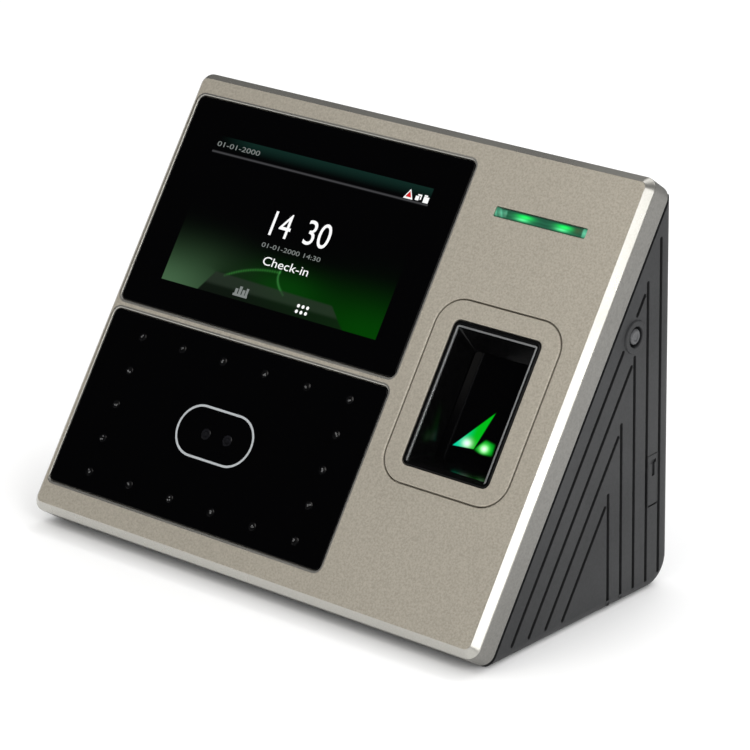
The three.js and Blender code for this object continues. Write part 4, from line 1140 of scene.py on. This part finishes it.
def outside_ring(start, end):
    """The stretches of a straight run that stay clear of the button's ring."""
    start, end = np.asarray(start, float), np.asarray(end, float)
    length = float(np.linalg.norm(end - start))
    way = (end - start) / length
    middle_step = float((button_place - start) @ way)
    miss = float(np.linalg.norm(start + middle_step * way - button_place))
    reach = button_ring + groove_width / 2 + 0.3
    if miss >= reach or not -reach < middle_step < length + reach:
        return [(start, end)]
    half_chord = math.sqrt(reach ** 2 - miss ** 2)
    cuts = [(0.0, middle_step - half_chord), (middle_step + half_chord, length)]
    return [(start + a * way, start + b * way) for a, b in cuts if b - a > 2 * groove_width]


groove_runs = []
for k in range(upright_count):
    forward = upright_first + k * upright_pitch
    foot = rear_line_point(forward, first_foot if k == 0 else groove_foot)
    top = rear_line_point(forward, upright_top)
    if k > 0:
        slant_line = side_point(0.0, -slanted_first - (k - 1) * slanted_pitch)
        cross = meet(foot, rear_way, slant_line, face_way)
        top = cross + overshoot * rear_way
        base_cross = meet(slant_line, face_way, np.array([0.0, base_level + groove_foot]), (1.0, 0.0))
        slant_end = cross - overshoot * face_way
        groove_runs.append((base_cross, slant_end))
    groove_runs.append((foot, top))
left_grooves = [groove(a, b) for a, b in groove_runs]
right_grooves = [groove(a, b) for run in groove_runs for a, b in outside_ring(*run)]

flap_forward, flap_width, flap_low, flap_high = 9.85, 5.8, 31.0, 49.0
flap_gap = 0.3
flap_thickness = 1.1
flap_seat = -flap_thickness - flap_gap
usb_half, usb_low, usb_high = 2.7, 33.4, 46.6
side_outline = outer_skin[0, :, 1:]
inner_outline = inner_skin[0, :, 1:]
flap_section = [(0, 0), (0.05, -0.05), (0.05, flap_seat)]
flap_recess = swept_rim(
    flap_section, -flap_forward - flap_width / 2 - flap_gap, -flap_forward + flap_width / 2 + flap_gap,
    flap_low - flap_gap, flap_high + flap_gap, 0.7, steps=4,
)
usb_hole = swept_rim(
    [(0, flap_seat), (0, -wall)],
    -flap_forward - usb_half, -flap_forward + usb_half, usb_low, usb_high, 0.4, steps=3,
)
ring_rise = 0.5
ring_profile = filleted(
    [(button_ring + 0.25, 0), (button_ring, ring_rise), (button_hole + 0.2, ring_rise),
     (button_hole, 0.2), (button_hole, -wall)],
    [0.25, 0.25, 0.2],
)
ring_loops = turned_loops(ring_profile, 40) + (*button_place, 0)


def in_side_view(loops):
    """Loops given as (out of the rear wall, up it, level) moved to the side view's own millimetres."""
    loops = np.asarray(loops, float)
    flat = rear_origin[1:] + loops[..., :1] * rear_axes[1, 1:] + loops[..., 1:2] * rear_axes[2, 1:]
    return np.concatenate([flat, loops[..., 2:]], axis=-1)


flap_recess, usb_hole = in_side_view(flap_recess), in_side_view(usb_hole)


def side_sheet(side):
    """Place function of one side: (back, up, level) in mm, with its level measured out of that side's
    plane."""
    def place(points):
        back_of, up_of, out_of = np.asarray(points, float).T
        return MM * np.column_stack([side * (face_width / 2 - side_inset + out_of), back_of, up_of])
    return place


# Grooves, the flap's recess and the USB hole take a darker copy of the moulding: painted shade in the
# hollows.
groove_shadow = grained(
    "groove_painted_shade", (0.004, 0.004, 0.0045), (0.007, 0.007, 0.008), 0.65, grains=1100.0, bump=0.2,
)
side_parts = []
side_shade_numbers = []
for side in (-1, 1):
    grooves = right_grooves if side > 0 else left_grooves
    open_loops = [ring_loops, flap_recess] if side > 0 else []
    through = [ring_loops[-1], usb_hole[-1]] if side > 0 else []
    shaded = [band(loops[groove_lip:]) for loops in grooves]
    shaded += [flat_sheet(loops[-1], [], -groove_depth) for loops in grooves]
    plain = [band(loops[:groove_lip + 1]) for loops in grooves]
    plain.append(flat_sheet(side_outline, [loops[0] for loops in (*grooves, *open_loops)], 0))
    plain.append(flat_sheet(inner_outline, through, -wall))
    if side > 0:
        plain.append(band(ring_loops))
        shaded += [band(flap_recess), band(usb_hole)]
        shaded.append(flat_sheet(flap_recess[-1], [usb_hole[0]], flap_seat))
    side_shade_numbers += [1] * len(shaded) + [0] * len(plain)
    side_parts += placed(side_sheet(side), *shaded, *plain)

rim_edges = [np.stack([outer_skin[:, k], inner_skin[:, k]]) for k in (0, -1)]
rim_edges += [np.stack([outer_skin[k, [0, -1]], inner_skin[k, [0, -1]]]) for k in (0, -1)]
rim_bridge = placed(in_row, *[band(edges, closed=False) for edges in rim_edges])
housing_plastic = grained(
    "dark_moulding", (0.0135, 0.0143, 0.0156), (0.0203, 0.0213, 0.023), 0.50, grains=1100.0, bump=0.35,
    rough_change=0.1,
)
skins = placed(in_row, skin_quads(outer_skin), skin_quads(inner_skin))
shell_parts = [*skins, *rear_parts, *base_parts, *rim_bridge]
housing = solid(
    "wedge_housing", shell_parts + side_parts, housing_plastic, groove_shadow,
    finish=[0] * len(shell_parts) + side_shade_numbers, crease=35, slot="dark_moulding",
)
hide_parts("rear_housing")

# ---- Power button -------------------------------------------------------------------------------------
# Round moulded cap that slides in the raised ring on the right side, dished for a fingertip.

cap_profile = filleted(
    [(0, 0.12), (1.2, 0.12), (1.55, 0.35), (2.1, 0.35), (2.6, 0.05), (2.6, -2.5), (4.2, -2.5),
     (4.2, -4.0), (0, -4.0)],
    [0.3, 0.2, 0.2, 0.3, 0.2, 0.2, 0.2], steps=3,
)
button_plastic = grained(
    "button_moulding", (0.06, 0.061, 0.064), (0.085, 0.086, 0.09), 0.38, grains=1300.0, bump=0.2,
)
cap = solid("power_button_cap", placed(
    side_sheet(1), band(turned_loops(cap_profile, 40) + (*button_place, 0)),
), button_plastic, body="power_button", slot="dark_moulding")
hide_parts("power_button")

# ---- USB cover ----------------------------------------------------------------------------------------
# Small soft plastic cover between two grooves that bends down on its lower edge, with a T-shaped slot for
# a nail. Here it keeps its CAD shape and takes the housing's finish.

refinish(housing_plastic, "usb_flap")

# ---- Connector bay and rear parts ---------------------------------------------------------------------
# Zinc-plated steel wall plate, moulded connector tray, sockets and screws.

plated_steel = grained(
    "plated_steel", (0.42, 0.42, 0.43), (0.55, 0.55, 0.56), 0.30, 0.95, grains=600.0, bump=0.08,
)
refinish(housing_plastic, "connector_bay")
refinish(
    plated_steel, "wall_plate", "wall_plate_screw", "display_carrier", "processor_shield",
    "ethernet_socket", "usb_socket", "housing_screw_left", "housing_screw_right",
    "board_screw_1", "board_screw_2", "board_screw_3", "board_screw_4",
)
refinish(
    piano_black, "light_baffle", "colour_camera", "infrared_camera", "reader_body", "power_switch",
    "dc_inlet", "reset_button", "reset_switch", "tamper_plunger", "tamper_switch", "speaker",
)
terminal_plastic = grained(
    "terminal_moulding", (0.015, 0.20, 0.06), (0.025, 0.28, 0.09), 0.42, grains=900.0,
)
refinish(terminal_plastic, "power_terminal", "signal_terminal")
resist = grained("solder_resist", (0.006, 0.07, 0.022), (0.012, 0.11, 0.035), 0.35, grains=700.0)
refinish(
    resist, "ir_led_board", "camera_board", "status_led_board", "reader_board", "side_board",
    "main_board",
)
relay_case = grained("relay_case", (0.015, 0.10, 0.34), (0.02, 0.14, 0.42), 0.35, grains=500.0)
refinish(relay_case, "relay")
shrink_wrap = grained("shrink_wrap", (0.02, 0.12, 0.34), (0.03, 0.17, 0.44), 0.25, grains=300.0)
refinish(shrink_wrap, "backup_battery")
refinish(gloss_black, "lcd_panel", "reader_prism")
